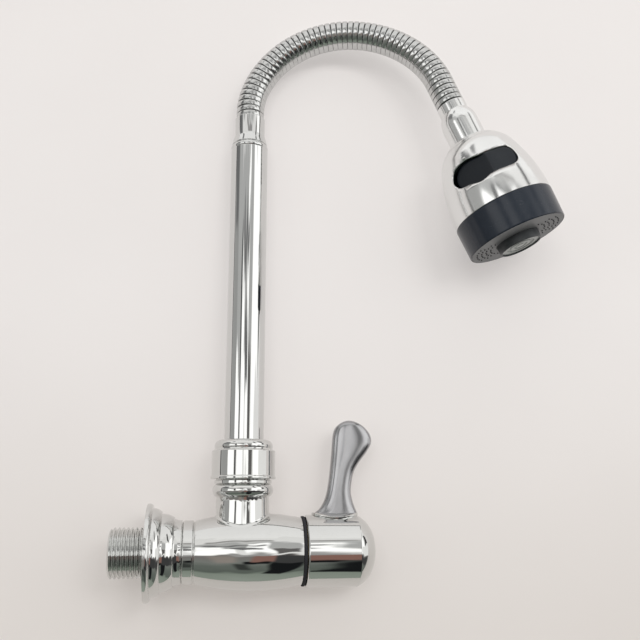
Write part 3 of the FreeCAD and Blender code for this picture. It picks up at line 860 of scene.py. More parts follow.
def wear(piece: bpy.types.Object, finish: Finish, body: str | None, *nodes: str) -> bpy.types.Object:
    """Gives a piece its finish, sets it on its body and lets it stand for CAD nodes.

    Args:
        piece: The piece.
        finish: Its finish.
        body: The body that it rides on, or None to attach it to none.
        *nodes: The CAD nodes that it replaces.

    Returns:
        The piece.
    """
    if not piece.data.materials:
        piece.data.materials.append(finish.material())
    if body:
        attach(piece, body)
    if nodes:
        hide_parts(*nodes)
    LOG.info("piece %s: %d faces, finish %s", piece.name, len(piece.data.polygons), finish.name)
    return piece


# Sub-assemblies

@dataclass
class Body:
    """Inlet shank, barrel-shaped body and tee neck, with the wall flange and the union nut."""

    thread_r: float = 10.4775
    thread_pitch: float = 1.814
    thread_reach: float = 14.9
    thread_inside: float = 0.5
    thread_depth: float = 1.05
    thread_round: float = 0.7
    thread_least: float = 0.25
    thread_lead_in: float = 0.9
    thread_run_out: float = 1.2
    shank_r: float = 9.9
    inlet_bore_r: float = 7.6
    flange_rim_r: float = 20.2
    flange_depth: float = 14.8
    flange_neck_r: float = 13.3
    flange_ridges: tuple[float, float, float] = (0.17, 0.43, 0.78)
    flange_wall: float = 1.1
    flange_boss_r: float = 12.4
    flange_seat: float = 4.0
    collar_end_x: float = 19.7
    collar_r: float = 13.1
    bulge_x: float = 43.0
    bulge_r: float = 16.0
    end_x: float = BODY_END_X
    end_r: float = 14.0
    seat_x: float = 27.0
    seat_hole_r: float = 5.6
    seat_thick: float = 3.0
    chamber_r: float = 9.6
    riser_x: float = RISER_X
    neck_r: float = 11.5
    neck_fillet: float = 0.9
    neck_sink: float = 0.04
    neck_wall: float = 1.0
    neck_low_z: float = 8.0
    neck_waist_z: tuple[float, float] = (18.6, 20.5)
    neck_bore_r: float = 6.8
    bead_low_z: float = 22.7
    bead_r: float = 13.2
    bead_high_z: float = 28.4
    disc_r: float = 12.5
    disc_high_z: float = 29.8
    neck_high_z: float = 39.6
    nut_r: float = 13.9
    nut_low_z: float = 30.2
    nut_edge_z: float = 42.6
    nut_high_z: float = 47.2
    nut_crown_r: float = 10.5
    nut_bore_r: float = 9.0
    nut_lip: float = 0.35
    nut_roof_z: float = 42.45
    thread_wall: float = 2.0

    def build(self) -> None:
        """Builds and dresses the body's pieces."""
        barrel = lathe("body_barrel", self.barrel_profile(), stand(Axis.BODY), segments=192)
        wear(barrel, BODY_CHROME, "base", "tap_body")
        wear(self.thread(), BODY_CHROME, "base", "tap_body")
        wear(self.neck(), BODY_CHROME, "base", "tap_body")
        flange = lathe("wall_flange_bell", self.flange_profile(), stand(Axis.BODY), segments=192)
        wear(flange, BODY_CHROME, "base", "wall_flange")
        nut = lathe("union_nut_shell", self.nut_profile(), stand(Axis.RISER), segments=160)
        wear(nut, BODY_CHROME, "base", "union_nut")

    def barrel_profile(self) -> Profile:
        """Outline of the shank, collar segment and barrel, with the waterway through them.

        Returns:
            The closed outline.
        """
        step_x = self.flange_depth - self.flange_seat
        steps = [
            (self.inlet_bore_r, 0.3), (self.shank_r, 0.3), (self.shank_r, step_x), (self.flange_boss_r, step_x),
            (self.flange_boss_r, self.flange_depth + 0.3), (self.collar_r - 0.4, self.flange_depth + 0.3),
            (self.collar_r, self.flange_depth + 0.8), (self.collar_r, self.collar_end_x - 0.4),
            (self.collar_r - 0.5, self.collar_end_x + 0.1), (self.collar_r - 0.5, self.collar_end_x + 0.3),
            (self.collar_r - 0.1, self.collar_end_x + 0.6), (self.bulge_r, self.bulge_x, self.end_r, self.end_x),
            (self.chamber_r, self.end_x), (self.chamber_r, self.seat_x + self.seat_thick),
            (self.seat_hole_r, self.seat_x + self.seat_thick), (self.seat_hole_r, self.seat_x),
            (self.inlet_bore_r, self.seat_x)]
        return soften(outline(steps, 1.2), 0.22)

    def thread(self) -> bpy.types.Object:
        """The inlet's pipe thread: a rounded helical groove that runs out at both ends.

        Returns:
            The piece.
        """
        root_r = self.thread_r - self.thread_depth
        lead = self.thread_lead_in
        segments, rows = 96, 240
        low, high = -self.thread_reach, self.thread_inside
        points = []
        for row in range(rows + 1):
            along = low + (high - low) * row / rows
            fade = min(1.0, max(0.0, (along - low) / lead))
            fade *= min(1.0, max(0.0, (high - along) / self.thread_run_out))
            for k, angle in enumerate(turns(segments)):
                phase = (along / self.thread_pitch - k / segments) % 1.0
                crest = (0.5 - 0.5 * math.cos(2 * math.pi * phase)) ** self.thread_round
                radius = root_r + (self.thread_r - root_r) * crest * min(1.0, self.thread_least + fade)
                radius = min(radius, self.thread_r - lead + lead * min(1.0, (along - low) / lead + 0.02))
                points.append((along, radius * math.cos(angle), radius * math.sin(angle)))
        faces = skin(rows + 1, segments)
        inner, last = len(points), rows * segments
        points += [(along, self.inlet_bore_r * math.cos(angle), self.inlet_bore_r * math.sin(angle))
                   for along in (low, high) for angle in turns(segments)]
        for k in range(segments):
            n = (k + 1) % segments
            faces += [(inner + k, inner + segments + k, inner + segments + n, inner + n),
                      (k, inner + k, inner + n, n), (last + k, last + n, inner + segments + n, inner + segments + k)]
        piece = make_piece("inlet_thread", np.array(points) * MM, faces)
        tidy(piece, 60.0)
        return piece

    def barrel_radius(self, along: float) -> float:
        """The barrel's radius on its bulge.

        Args:
            along: Distance from the wall.

        Returns:
            The radius there.
        """
        centre_x, centre_r, radius = circle_through(
            (self.collar_end_x + 0.6, self.collar_r - 0.1), (self.bulge_x, self.bulge_r), (self.end_x, self.end_r))
        return centre_r + math.sqrt(max(0.0, radius ** 2 - (along - centre_x) ** 2))

    def neck(self) -> bpy.types.Object:
        """The tee neck with its bead and disc, flared into the barrel by a small fillet.

        Returns:
            The piece.
        """
        seat_r = self.nut_r - self.thread_wall - 0.1
        upper = soften(outline([
            (self.neck_r, self.bead_low_z), (self.bead_r, self.bead_low_z + 2.4, self.disc_r - 0.8, self.bead_high_z),
            (self.disc_r, self.bead_high_z), (self.disc_r, self.disc_high_z), (seat_r, self.disc_high_z),
            (seat_r, self.neck_high_z), (self.neck_bore_r, self.neck_high_z), (self.neck_bore_r, self.neck_low_z)],
            6.0), 0.2)
        around, fillet_rows = turns(160), 9
        fillet = self.neck_fillet
        rings: list[list[Vector]] = []
        for share in np.linspace(0.0, 1.0, fillet_rows):
            turn = share * math.pi / 2
            ring = []
            for angle in around:
                out = Vector((math.cos(angle), math.sin(angle), 0))
                reach = self.neck_r + fillet * (1 - math.sin(turn))
                x, y = self.riser_x + out.x * reach, out.y * reach
                height = math.sqrt(max(0.0, self.barrel_radius(x) ** 2 - y * y))
                rise = fillet * (1 - math.cos(turn)) - self.neck_sink * (1 - share)
                ring.append(Vector((x, y, height + rise)) * MM)
            rings.append(ring)
        waist = [(self.neck_r, height) for height in self.neck_waist_z]
        for radius, height in [*waist, *upper, (self.neck_r - self.neck_wall, self.neck_low_z)]:
            rings.append([Vector((self.riser_x + radius * math.cos(angle), radius * math.sin(angle), height)) * MM
                          for angle in around])
        return loft("body_neck", rings + rings[:1], closed_ends=False)

    def flange_profile(self) -> Profile:
        """Outline of the stepped bell, open towards the wall.

        Returns:
            The closed outline.
        """
        one, two, three = (self.flange_depth * share for share in self.flange_ridges)
        rim, slope, wall = self.flange_rim_r, self.flange_rim_r - self.flange_neck_r, self.flange_wall
        steps = [
            (rim - wall, 0), (rim, 0), (rim, one * 0.35), (rim - 0.3, one * 0.75, rim - slope * 0.2, one),
            (rim - slope * 0.27, one), (rim - slope * 0.33, (one + two) / 2, rim - slope * 0.53, two),
            (rim - slope * 0.6, two), (rim - slope * 0.66, (two + three) / 2, rim - slope * 0.84, three),
            (rim - slope * 0.93, three), (rim - slope * 0.99, (three + self.flange_depth) / 2,
                                          self.flange_neck_r, self.flange_depth),
            (self.flange_boss_r + 0.1, self.flange_depth), (self.flange_boss_r + 0.1, three),
            (rim - slope * 0.6 - wall - 0.3, two), (rim - wall - 0.6, one * 0.6)]
        return soften(outline(steps, 6.0), 0.25)

    def nut_profile(self) -> Profile:
        """Outline of the union nut with its stepped, rounded shoulder.

        Returns:
            The closed outline.
        """
        thread, edge, high = self.nut_r - self.thread_wall, self.nut_edge_z, self.nut_high_z
        lip = self.nut_r + self.nut_lip
        steps = [
            (thread, self.nut_low_z), (lip - 0.3, self.nut_low_z), (lip, self.nut_low_z + 0.3),
            (lip, self.nut_low_z + 1.1), (self.nut_r, self.nut_low_z + 1.5), (self.nut_r, edge - 0.5),
            (self.nut_r - 0.15, edge - 0.1, self.nut_r - 0.6, edge), (self.nut_r - 1.0, edge + 0.2),
            (self.nut_r - 1.2, edge + 0.9),
            (self.nut_r - 1.5, high - 1.2, self.nut_crown_r, high), (self.nut_bore_r, high),
            (self.nut_bore_r, self.nut_roof_z), (thread, self.nut_roof_z)]
        return soften(outline(steps, 6.0), 0.2)


@dataclass
class Spout:
    """The riser tube and the ferrule that carries the hose."""

    riser_r: float = 8.7
    riser_wall: float = 1.0
    low_z: float = 34.0
    high_z: float = 185.7
    bead: float = 2.1
    cone_high_z: float = 193.2
    sleeve_high_z: float = SLEEVE_HIGH_Z
    hose_low_z: float = HOSE_LOW_Z
    sleeve_r: float = 6.75
    barb_r: float = BARB_R
    tube_r: float = BARB_BORE_R
    ferrule_reach: float = 9.0

    def build(self) -> None:
        """Builds and dresses the riser and its ferrule."""
        inner = self.riser_r - self.riser_wall
        steps = [(inner, self.low_z), (self.riser_r, self.low_z), (self.riser_r, self.high_z), (inner, self.high_z)]
        tube = lathe("riser_pipe", soften(steps, 0.25), stand(Axis.RISER), segments=160)
        wear(tube, TUBE_CHROME, "spout", "riser_tube")
        top, plug_low = self.high_z + self.bead, self.high_z - self.ferrule_reach
        barb_high = self.hose_low_z + self.ferrule_reach
        plug, cone, sleeve = inner - 0.05, self.riser_r - 0.25, self.sleeve_r + 0.45
        steps = [
            (self.tube_r, plug_low), (plug, plug_low), (plug, self.high_z), (self.riser_r - 0.3, self.high_z),
            (self.riser_r + 0.05, self.high_z + self.bead / 2, self.riser_r - 0.3, top),
            (self.riser_r - 0.7, top + 0.15), (self.riser_r - 0.7, top + 0.4), (cone, top + 0.6),
            ((cone + sleeve) / 2 + 0.12, (top + 0.6 + self.cone_high_z) / 2, sleeve, self.cone_high_z),
            (sleeve, self.sleeve_high_z - 0.2), (self.sleeve_r + 0.25, self.sleeve_high_z),
            (self.sleeve_r, self.sleeve_high_z), (self.sleeve_r, self.hose_low_z), (self.barb_r, self.hose_low_z),
            (self.barb_r, barb_high), (self.tube_r, barb_high)]
        ferrule = lathe("hose_ferrule", soften(outline(steps, 6.0), 0.2), stand(Axis.RISER))
        wear(ferrule, TUBE_CHROME, "spout", "lower_ferrule")


@dataclass
class Gooseneck:
    """The ribbed hose and its route: straight, bent in one upright plane, and straight again."""

    riser_x: float = RISER_X
    low_z: float = HOSE_LOW_Z
    sleeve_high_z: float = SLEEVE_HIGH_Z
    hose_r: float = 6.7
    groove_r: float = 6.12
    bore_r: float = 5.15
    straight: float = 13.4
    pitch: float = 2.726
    ribs: int = 52
    rib_width: float = 2.36
    rib_depth: float = 1.1
    rib_corner: float = 0.3
    turn: float = 158.2
    swing: float = 12.66
    bend_shape: tuple[float, ...] = (31.8, 20.9, 19.4, 18.5, 17.0, 19.0, 25.3)
    steps: int = 6
    water_r: float = 3.8
    water_bore_r: float = 2.8
    water_low_z: float = 177.7
    water_past_end: float = 8.0
    route: list[Spot] = field(default_factory=list)

    def __post_init__(self) -> None:
        """Works out the route from the bend's shape."""
        swing = math.radians(self.swing)
        self.outward = Vector((math.cos(swing), -math.sin(swing), 0))
        self.hinge_axis = Vector((math.sin(swing), math.cos(swing), 0))
        hidden = self.sleeve_high_z - self.low_z
        self.length = hidden + self.ribs * self.pitch
        step = self.pitch / self.steps
        self.hidden_steps = max(1, round(hidden / step))
        lengths = [hidden / self.hidden_steps] * self.hidden_steps + [step] * (self.ribs * self.steps)
        along, rates = 0.0, []
        for length in lengths:
            rates.append(self.bend_rate(along + length / 2) * length)
            along += length
        scale = math.radians(self.turn) / sum(rates)
        here, angle = Vector((self.riser_x, 0, self.low_z)), 0.0
        up = Vector((0, 0, 1))
        self.route = [(here, up)]
        for length, rate in zip(lengths, rates):
            middle = angle + rate * scale / 2
            angle += rate * scale
            here = here + (self.outward * math.sin(middle) + up * math.cos(middle)) * length
            self.route.append((here, self.outward * math.sin(angle) + up * math.cos(angle)))

    def bend_rate(self, along: float) -> float:
        """How sharply the hose bends at a distance along it, before scaling to the whole turn.

        Args:
            along: The distance.

        Returns:
            The rate.
        """
        first, last = self.straight, self.length - self.straight
        if along <= first or along >= last:
            return 0.0
        place = (along - first) / (last - first) * (len(self.bend_shape) - 1)
        index = min(int(place), len(self.bend_shape) - 2)
        share = place - index
        return self.bend_shape[index] * (1 - share) + self.bend_shape[index + 1] * share

    @property
    def end(self) -> Vector:
        """The hose's end, in millimetres."""
        return self.route[-1][0]

    @property
    def head_axis(self) -> Vector:
        """The direction in which the hose leaves its end."""
        return self.route[-1][1]

    def place_at(self, rib: float) -> Spot:
        """Centre and direction at a place counted in ribs from the sleeve.

        Args:
            rib: The count.

        Returns:
            The centre, in millimetres, and the direction.
        """
        place = self.hidden_steps + rib * self.steps
        index = min(int(place), len(self.route) - 2)
        rest = place - index
        centre = self.route[index][0].lerp(self.route[index + 1][0], rest)
        return centre, self.route[index][1].lerp(self.route[index + 1][1], rest).normalized()

    def build(self) -> None:
        """Builds the ribs, the wall between them, painted near black as shade in the grooves, and the water tube
        inside.
        """
        ribs = Repeat("hose_ribs", RIB_STEEL, {
            "Rib radius": self.hose_r, "Rib width": self.rib_width, "Rib depth": self.rib_depth,
            "Corner": self.rib_corner}, self.rib)
        spots = [self.place_at(number + 0.5 * self.rib_width / self.pitch) for number in range(self.ribs)]
        skins = [wear(ribs.settle([(centre * MM, way) for centre, way in spots]), RIB_STEEL, None, "gooseneck_hose")]
        marks = [self.route[0]] + [self.place_at(number) for number in range(self.ribs + 1)]
        wall = self.tube("hose_wall", self.groove_r, self.bore_r, marks)
        skins.append(wear(wall, GROOVE_PAINTED_SHADE, None, "gooseneck_hose"))
        marks = [(Vector((self.riser_x, 0, self.water_low_z)), Vector((0, 0, 1))), self.route[0]]
        marks += [self.place_at(number) for number in range(0, self.ribs + 1, 2)]
        marks.append((self.end + self.head_axis * self.water_past_end, self.head_axis))
        water = self.tube("water_tube_bent", self.water_r, self.water_bore_r, marks)
        skins.append(wear(water, TUBE_RUBBER, None, "water_tube"))
        for piece in skins:
            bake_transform(piece)

    @staticmethod
    def rib(sheet: Sheet, given: Inputs) -> Socket:
        """Draws one rounded ring of the hose.

        Args:
            sheet: The tree's sheet.
            given: Its inputs.

        Returns:
            The ring.
        """
        radius = sheet.maths("ADD", sheet.maths("MULTIPLY", given["Rib depth"], -0.5), given["Rib radius"])
        circle = sheet.add("GeometryNodeCurvePrimitiveCircle", {"Resolution": 72, "Radius": radius})
        section = sheet.add("GeometryNodeCurvePrimitiveQuadrilateral", {
            "Width": given["Rib depth"], "Height": given["Rib width"]})
        rounded = sheet.add("GeometryNodeFilletCurve", {
            "Curve": section.outputs[0], "Count": 3, "Radius": given["Corner"]}, mode="POLY")
        return sheet.add("GeometryNodeCurveToMesh", {
            "Curve": circle.outputs[0], "Profile Curve": rounded.outputs[0]}).outputs[0]

    def tube(self, name: str, outer: float, inner: float, marks: Sequence[Spot]) -> bpy.types.Object:
        """A tube along marks of the route.

        Args:
            name: Name of the piece.
            outer: Outside radius in millimetres.
            inner: Inside radius in millimetres.
            marks: Centres and directions.

        Returns:
            The closed tube.
        """
        rings = []
        for radius, places in ((outer, marks), (inner, list(reversed(marks)))):
            for centre, way in places:
                other = way.cross(self.hinge_axis).normalized()
                rings.append([(centre + (self.hinge_axis * math.cos(angle) + other * math.sin(angle)) * radius) * MM
                              for angle in turns(64)])
        return loft(name, rings + rings[:1], closed_ends=False)


@dataclass
class SprayHead:
    """The spray head, measured down its axis from the hose's end."""

    neck: Gooseneck
    bore_r: float = BARB_BORE_R
    barb_r: float = BARB_R
    barb_reach: float = 9.0
    outlet_r: float = 3.2
    seat_down: float = 8.1
    washer_drop: float = 5.0
    swivel_wall: float = 1.5
    inlet_r: float = 6.9
    inlet_high: float = 5.0
    swivel_r: float = 8.8
    swivel_low: float = 11.6
    cone_mid: tuple[float, float] = (0.66, 0.4)
    shell_top: float = 21.9
    shoulder_r: float = 10.2
    waist: float = 30.4
    waist_r: float = 18.0
    flank: float = 41.0
    flank_r: float = 21.3
    shell_end: float = 58.9
    end_r: float = 23.2
    shell_wall: float = 1.5
    collar_end: float = 73.8
    collar_low_r: float = 22.9
    collar_wall: float = 1.6
    collar_rim: float = 0.6
    plate: float = 2.4
    boss_r: float = 10.1
    boss_proud: float = 4.0
    boss_wall: float = 1.1
    boss_flange: float = 1.9
    disc_drop: float = 4.0
    grille_sink: float = 0.6
    grille_steps: tuple[tuple[float, float], ...] = (
        (6.6, 0.0), (6.4, 0.5), (5.0, 0.5), (4.8, 0.0), (3.4, 0.0), (3.2, 0.4), (2.2, 0.4), (2.0, 0.0), (0.0, 0.0))
    window_mid: float = 41.8
    window_high: float = 13.7
    window_half: float = 15.1
    window_turn: float = -13.0
    window_floor: float = 12.2
    cutter_reach: tuple[float, float] = (-34.0, -5.0)
    rocker_gap: float = 0.35
    rocker_crest: float = 20.0
    ridge_at: float = 3.7
    ridge_round: float = 0.2
    ridge_steps: tuple[float, ...] = (-0.5, -0.25, 0.0, 0.25, 0.5)
    rocker_rows: int = 90
    rocker_columns: int = 33
    finger_recess: float = 1.4
    rocker_end: float = 13.4
    rocker_back: float = 11.2
    rocker_tilt: float = 6.0
    rocker_edge: float = 0.55
    rocker_inside: float = 0.9985
    pivot_reach: float = 13.2
    nozzle_rows: tuple[float, ...] = (13.2, 15.4, 17.6, 19.8)
    nozzles_in_row: int = 7
    nozzle_step: float = 170.0
    nozzle_r: float = 0.36
    nozzle_high: float = 0.35
    window_outline: tuple[tuple[float, float], ...] = (
        (1.00, -0.15), (0.95, 0.42), (0.82, 0.73), (0.62, 0.82), (0.30, 0.81), (0.00, 0.84), (-0.22, 0.94),
        (-0.43, 1.00), (-0.66, 0.93), (-0.84, 0.72), (-0.96, 0.35), (-1.00, -0.10), (-0.90, -0.55), (-0.75, -0.72),
        (-0.58, -0.79), (-0.42, -0.93), (-0.28, -1.00), (-0.13, -0.95), (0.05, -0.84), (0.30, -0.79), (0.54, -0.79),
        (0.80, -0.73), (0.95, -0.50))

    def __post_init__(self) -> None:
        """Works out the head's place from the hose's end."""
        turn = math.radians(self.window_turn)
        up = -self.neck.head_axis
        back = self.neck.hinge_axis * math.cos(turn) + up.cross(self.neck.hinge_axis) * math.sin(turn)
        side = back.cross(up)
        self.place = Matrix.Translation(self.neck.end * MM) @ Matrix(
            ((side.x, back.x, up.x), (side.y, back.y, up.y), (side.z, back.z, up.z))).to_4x4()

    @staticmethod
    def down(steps: Steps) -> list[tuple[float, ...]]:
        """Turns distances below the hose's end into heights."""
        return [tuple(-value if place % 2 else value for place, value in enumerate(step)) for step in steps]

    def turned(self, name: str, steps: Steps, corner: float = 0.2, segments: int = 128) -> bpy.types.Object:
        """A turned piece on the head's axis, from steps below the hose's end."""
        return lathe(name, soften(outline(self.down(steps), 4.0), corner), self.place, segments)

    def build(self) -> None:
        """Builds and dresses the head's pieces."""
        core_top, (cone_r, cone_low) = self.shell_top + self.shell_wall + 0.2, self.cone_mid
        web_low, socket_r = self.swivel_low + self.washer_drop - self.swivel_wall, self.swivel_r - self.swivel_wall
        swivel = self.turned("head_swivel", [
            (self.bore_r, -self.barb_reach), (self.barb_r, -self.barb_reach), (self.barb_r, 0.3),
            (self.inlet_r - 0.2, 0.3), (self.inlet_r, 0.5), (self.inlet_r, self.inlet_high),
            (self.inlet_r + cone_r * (self.swivel_r - self.inlet_r),
             self.inlet_high + cone_low * (self.swivel_low - self.inlet_high), self.swivel_r, self.swivel_low),
            (self.swivel_r, core_top), (socket_r, core_top), (socket_r, web_low), (self.outlet_r, web_low),
            (self.outlet_r, self.seat_down), (self.bore_r, self.seat_down)])
        wear(swivel, HEAD_CHROME_PAINTED_LIGHT, "head", "upper_ferrule")
        wear(self.shell(), HEAD_CHROME_PAINTED_LIGHT, "head", "head_shell")
        inner = self.end_r - self.collar_wall
        plate_low, plate_r = self.collar_end - self.plate, self.collar_low_r - self.collar_rim
        collar = self.turned("head_collar", [
            (inner, self.shell_end + 0.1), (self.end_r - 0.1, self.shell_end + 0.1),
            (self.end_r + 0.1, self.shell_end + 0.5), (self.collar_low_r, self.collar_end - 0.4),
            (self.collar_low_r - 0.3, self.collar_end), (plate_r + 0.05, self.collar_end), (plate_r + 0.05, plate_low),
            (inner, plate_low)], corner=0.3, segments=192)
        wear(collar, COLLAR_GLOSS, "head", "collar_ring")
        face = self.turned("spray_face", [
            (self.boss_r + 0.1, self.collar_end), (plate_r, self.collar_end), (plate_r, plate_low),
            (self.boss_r + 0.1, plate_low)], corner=0.1, segments=160)
        wear(face, FACE_PLASTIC, "head", "spray_plate")
        wear(self.nozzles(), NOZZLE_RUBBER, "head", "spray_plate")
        boss_end, disc_low = self.collar_end + self.boss_proud, self.shell_end + self.disc_drop
        flange_r, lip_r = self.boss_r - self.boss_flange, self.boss_r - self.boss_wall
        boss = self.turned("aerator_boss", [
            (flange_r, disc_low + 0.1), (self.boss_r, disc_low + 0.1), (self.boss_r, self.collar_end),
            (self.boss_r - 0.3, boss_end), (lip_r, boss_end), (lip_r, plate_low + 0.5), (flange_r, plate_low + 0.5)],
            corner=0.3)
        wear(boss, BOSS_PLASTIC, "head", "aerator_housing")
        low = boss_end - self.grille_sink
        insert = self.turned("aerator_grille", [
            (0, plate_low + 0.9), (lip_r - 0.1, plate_low + 0.9), (lip_r - 0.1, low),
            *((radius, low - sink) for radius, sink in self.grille_steps)], corner=0.12)
        wear(insert, GRILLE_PLASTIC, "head", "aerator_insert")
        wear(self.liner(), LINER_PLASTIC, "head", "head_shell")
        wear(self.rocker(), ROCKER_PLASTIC, "rocker", "mode_rocker")

    def nozzles(self) -> bpy.types.Object:
        """Small dark nozzle tips, set in staggered arcs on the face to the left and right of the boss.

        Returns:
            The tips, as one piece.
        """
        spots = []
        for row, radius in enumerate(self.nozzle_rows):
            for side in (0.0, 180.0):
                for k in range(self.nozzles_in_row):
                    turn = side + (k + (row % 2) * 0.5 - (self.nozzles_in_row - 1) / 2) * self.nozzle_step / radius
                    spot = Vector((radius * math.cos(math.radians(turn)), radius * math.sin(math.radians(turn)),
                                   -self.collar_end))
                    spots.append((self.place @ (spot * MM), self.neck.head_axis))
        sizes = {"Tip radius": self.nozzle_r, "Tip height": self.nozzle_high}
        return Repeat("spray_nozzles", NOZZLE_RUBBER, sizes, self.tip).settle(spots)

    @staticmethod
    def tip(sheet: Sheet, given: Inputs) -> Socket:
        """Draws one small tapered nozzle tip.

        Args:
            sheet: The tree's sheet.
            given: Its inputs.

        Returns:
            The tip.
        """
        return sheet.add("GeometryNodeMeshCone", {
            "Vertices": 10, "Radius Top": sheet.maths("MULTIPLY", given["Tip radius"], 0.7),
            "Radius Bottom": given["Tip radius"], "Depth": given["Tip height"]}).outputs[0]

    def shell(self) -> bpy.types.Object:
        """The bell-shaped shell: a turned bell with its window cut through the front.

        Returns:
            The piece.
        """
        steps = self.down([
            (self.swivel_r + 0.1, self.shell_top), (self.shoulder_r + 0.5, self.shell_top),
            (self.shoulder_r + 1.8, self.shell_top + 0.9), (self.shoulder_r + 2.9, self.shell_top + 2.4),
            (self.shoulder_r + 3.3, self.shell_top + 2.5), (self.shoulder_r + 4.2, self.shell_top + 2.9),
            (self.waist_r - 1.6, (self.shell_top + self.waist) / 2 + 1.2, self.waist_r, self.waist),
            (self.flank_r, self.flank, self.end_r, self.shell_end), (self.end_r - self.shell_wall, self.shell_end),
            (self.flank_r - self.shell_wall, self.flank + 0.5, self.waist_r - self.shell_wall, self.waist + 0.8),
            (self.waist_r - 4.4, (self.shell_top + self.waist) / 2 + 1.4, self.shoulder_r - 0.4,
             self.shell_top + self.shell_wall), (self.swivel_r + 0.1, self.shell_top + self.shell_wall)])
        shell = lathe("head_bell", soften(outline(steps, 2.0), 0.2), self.place, segments=256)
        shape = self.slot_outline(self.window_half, self.window_half, self.window_high)
        cutter = loft("window_cutter", [[self.place @ (Vector((x, y, z)) * MM) for x, z in shape]
                                        for y in self.cutter_reach])
        cut = shell.modifiers.new("window", "BOOLEAN")
        cut.operation, cut.object, cut.solver = "DIFFERENCE", cutter, "EXACT"
        mesh = plain_mesh(shell)
        shell.modifiers.clear()
        shell.data = mesh
        bpy.data.objects.remove(cutter)
        return shell

    def slot_outline(self, right: float, left: float, high: float, steps: int = 4) -> Profile:
        """The window's bean shape as (across, height) points.

        Args:
            right: Its reach to the right of the middle, in millimetres.
            left: Its reach to the left.
            high: Its height.
            steps: How many pieces each stretch is cut into.

        Returns:
            The closed line's points.
        """
        return smooth_line([(a * (right if a > 0 else left), u * high / 2 - self.window_mid)
                            for a, u in self.window_outline], steps, closed=True)

    def pad_depth(self, x: float) -> float:
        """How far the pads' faces stand from the head's axis.

        Args:
            x: The place across.

        Returns:
            The distance.
        """
        reach = self.window_half - self.ridge_at if x > self.ridge_at else self.window_half + self.ridge_at
        share = math.sqrt((x - self.ridge_at) ** 2 + self.ridge_round) / reach
        return self.rocker_crest - (self.rocker_crest - self.rocker_end) * share

    def rocker(self) -> bpy.types.Object:
        """The rocker: two sloping pads that meet in a ridge, rounded at the edge and tilted to one side.

        Returns:
            The piece.
        """
        half, high = self.window_half - self.rocker_gap, self.window_high - 2 * self.rocker_gap
        pivot = Vector((0, self.pivot_reach, 0)) * MM
        tilt = Matrix.Rotation(math.radians(-self.rocker_tilt), 4, "Z")
        place = self.place @ (Matrix.Translation(-pivot) @ tilt @ Matrix.Translation(pivot))
        edge = self.slot_outline(half, half - self.finger_recess, high, steps=10)
        left, right = min(edge)[0], max(edge)[0]
        stations = [(left + right) / 2 - (right - left) / 2 * self.rocker_inside * math.cos(t)
                    for t in np.linspace(0, math.pi, self.rocker_rows)]
        stations = sorted(stations + [self.ridge_at + step for step in self.ridge_steps])
        rings = []
        for x in stations:
            bottom, top = self.span(edge, x)
            ring = []
            for t in np.linspace(0, math.pi, self.rocker_columns):
                z = (bottom + top) / 2 - (top - bottom) / 2 * math.cos(t)
                inset = max(0.0, min(x - left, right - x, top - z, z - bottom, self.rocker_edge))
                sink = self.rocker_edge - math.sqrt(max(0.0, self.rocker_edge ** 2 - (self.rocker_edge - inset) ** 2))
                ring.append((-max(self.pad_depth(x) - sink, self.rocker_back), z))
            ring += [(-self.rocker_back + 0.3, z) for z in (top, bottom)]
            rings.append([place @ (Vector((x, y, z)) * MM) for y, z in ring])
        return loft("mode_rocker_pads", rings)

    @staticmethod
    def span(edge: Profile, x: float) -> tuple[float, float]:
        """How far a closed line reaches down and up at a place across.

        Args:
            edge: The closed line.
            x: The place across.

        Returns:
            Its lowest and highest point there.
        """
        hits = [za + (zb - za) * (x - xa) / (xb - xa) for (xa, za), (xb, zb) in zip(edge, edge[1:] + edge[:1])
                if (xa - x) * (xb - x) <= 0 and abs(xb - xa) > NO_LENGTH]
        return min(hits), max(hits)

    def liner(self) -> bpy.types.Object:
        """The dark lining of the window, from just under the shell's face inwards.

        Returns:
            The piece.
        """
        floor, rings = self.window_floor, []
        for grow, sink in ((0.15, 1.1), (0.12, 0.35), (-0.12, 0.45), (-0.22, 0.9), (-0.25, None), (0.15, None)):
            reach, ring = self.window_half + grow, []
            for x, z in self.slot_outline(reach, reach, self.window_high + 2 * grow):
                depth = floor
                if sink is not None:
                    depth = max(floor, math.sqrt(max(0.0, self.shell_radius(-z) ** 2 - x * x)) - sink)
                ring.append(self.place @ (Vector((x, -depth, z)) * MM))
            rings.append(ring)
        return loft("window_liner", rings + rings[:1], closed_ends=False)

    def shell_radius(self, down: float) -> float:
        """The shell's outer radius, read off its outline.

        Args:
            down: Distance below the hose's end.

        Returns:
            The radius there.
        """
        steps = [(self.waist_r, self.waist), (self.flank_r, self.flank, self.end_r, self.shell_end)]
        if down <= self.waist:
            steps = [(self.shoulder_r, self.shell_top), (
                self.waist_r - 3.2, (self.shell_top + self.waist) / 2 - 0.7, self.waist_r, self.waist)]
        line = outline(self.down(steps), 2.0)
        return float(np.interp(down, [-height for _, height in line], [radius for radius, _ in line]))


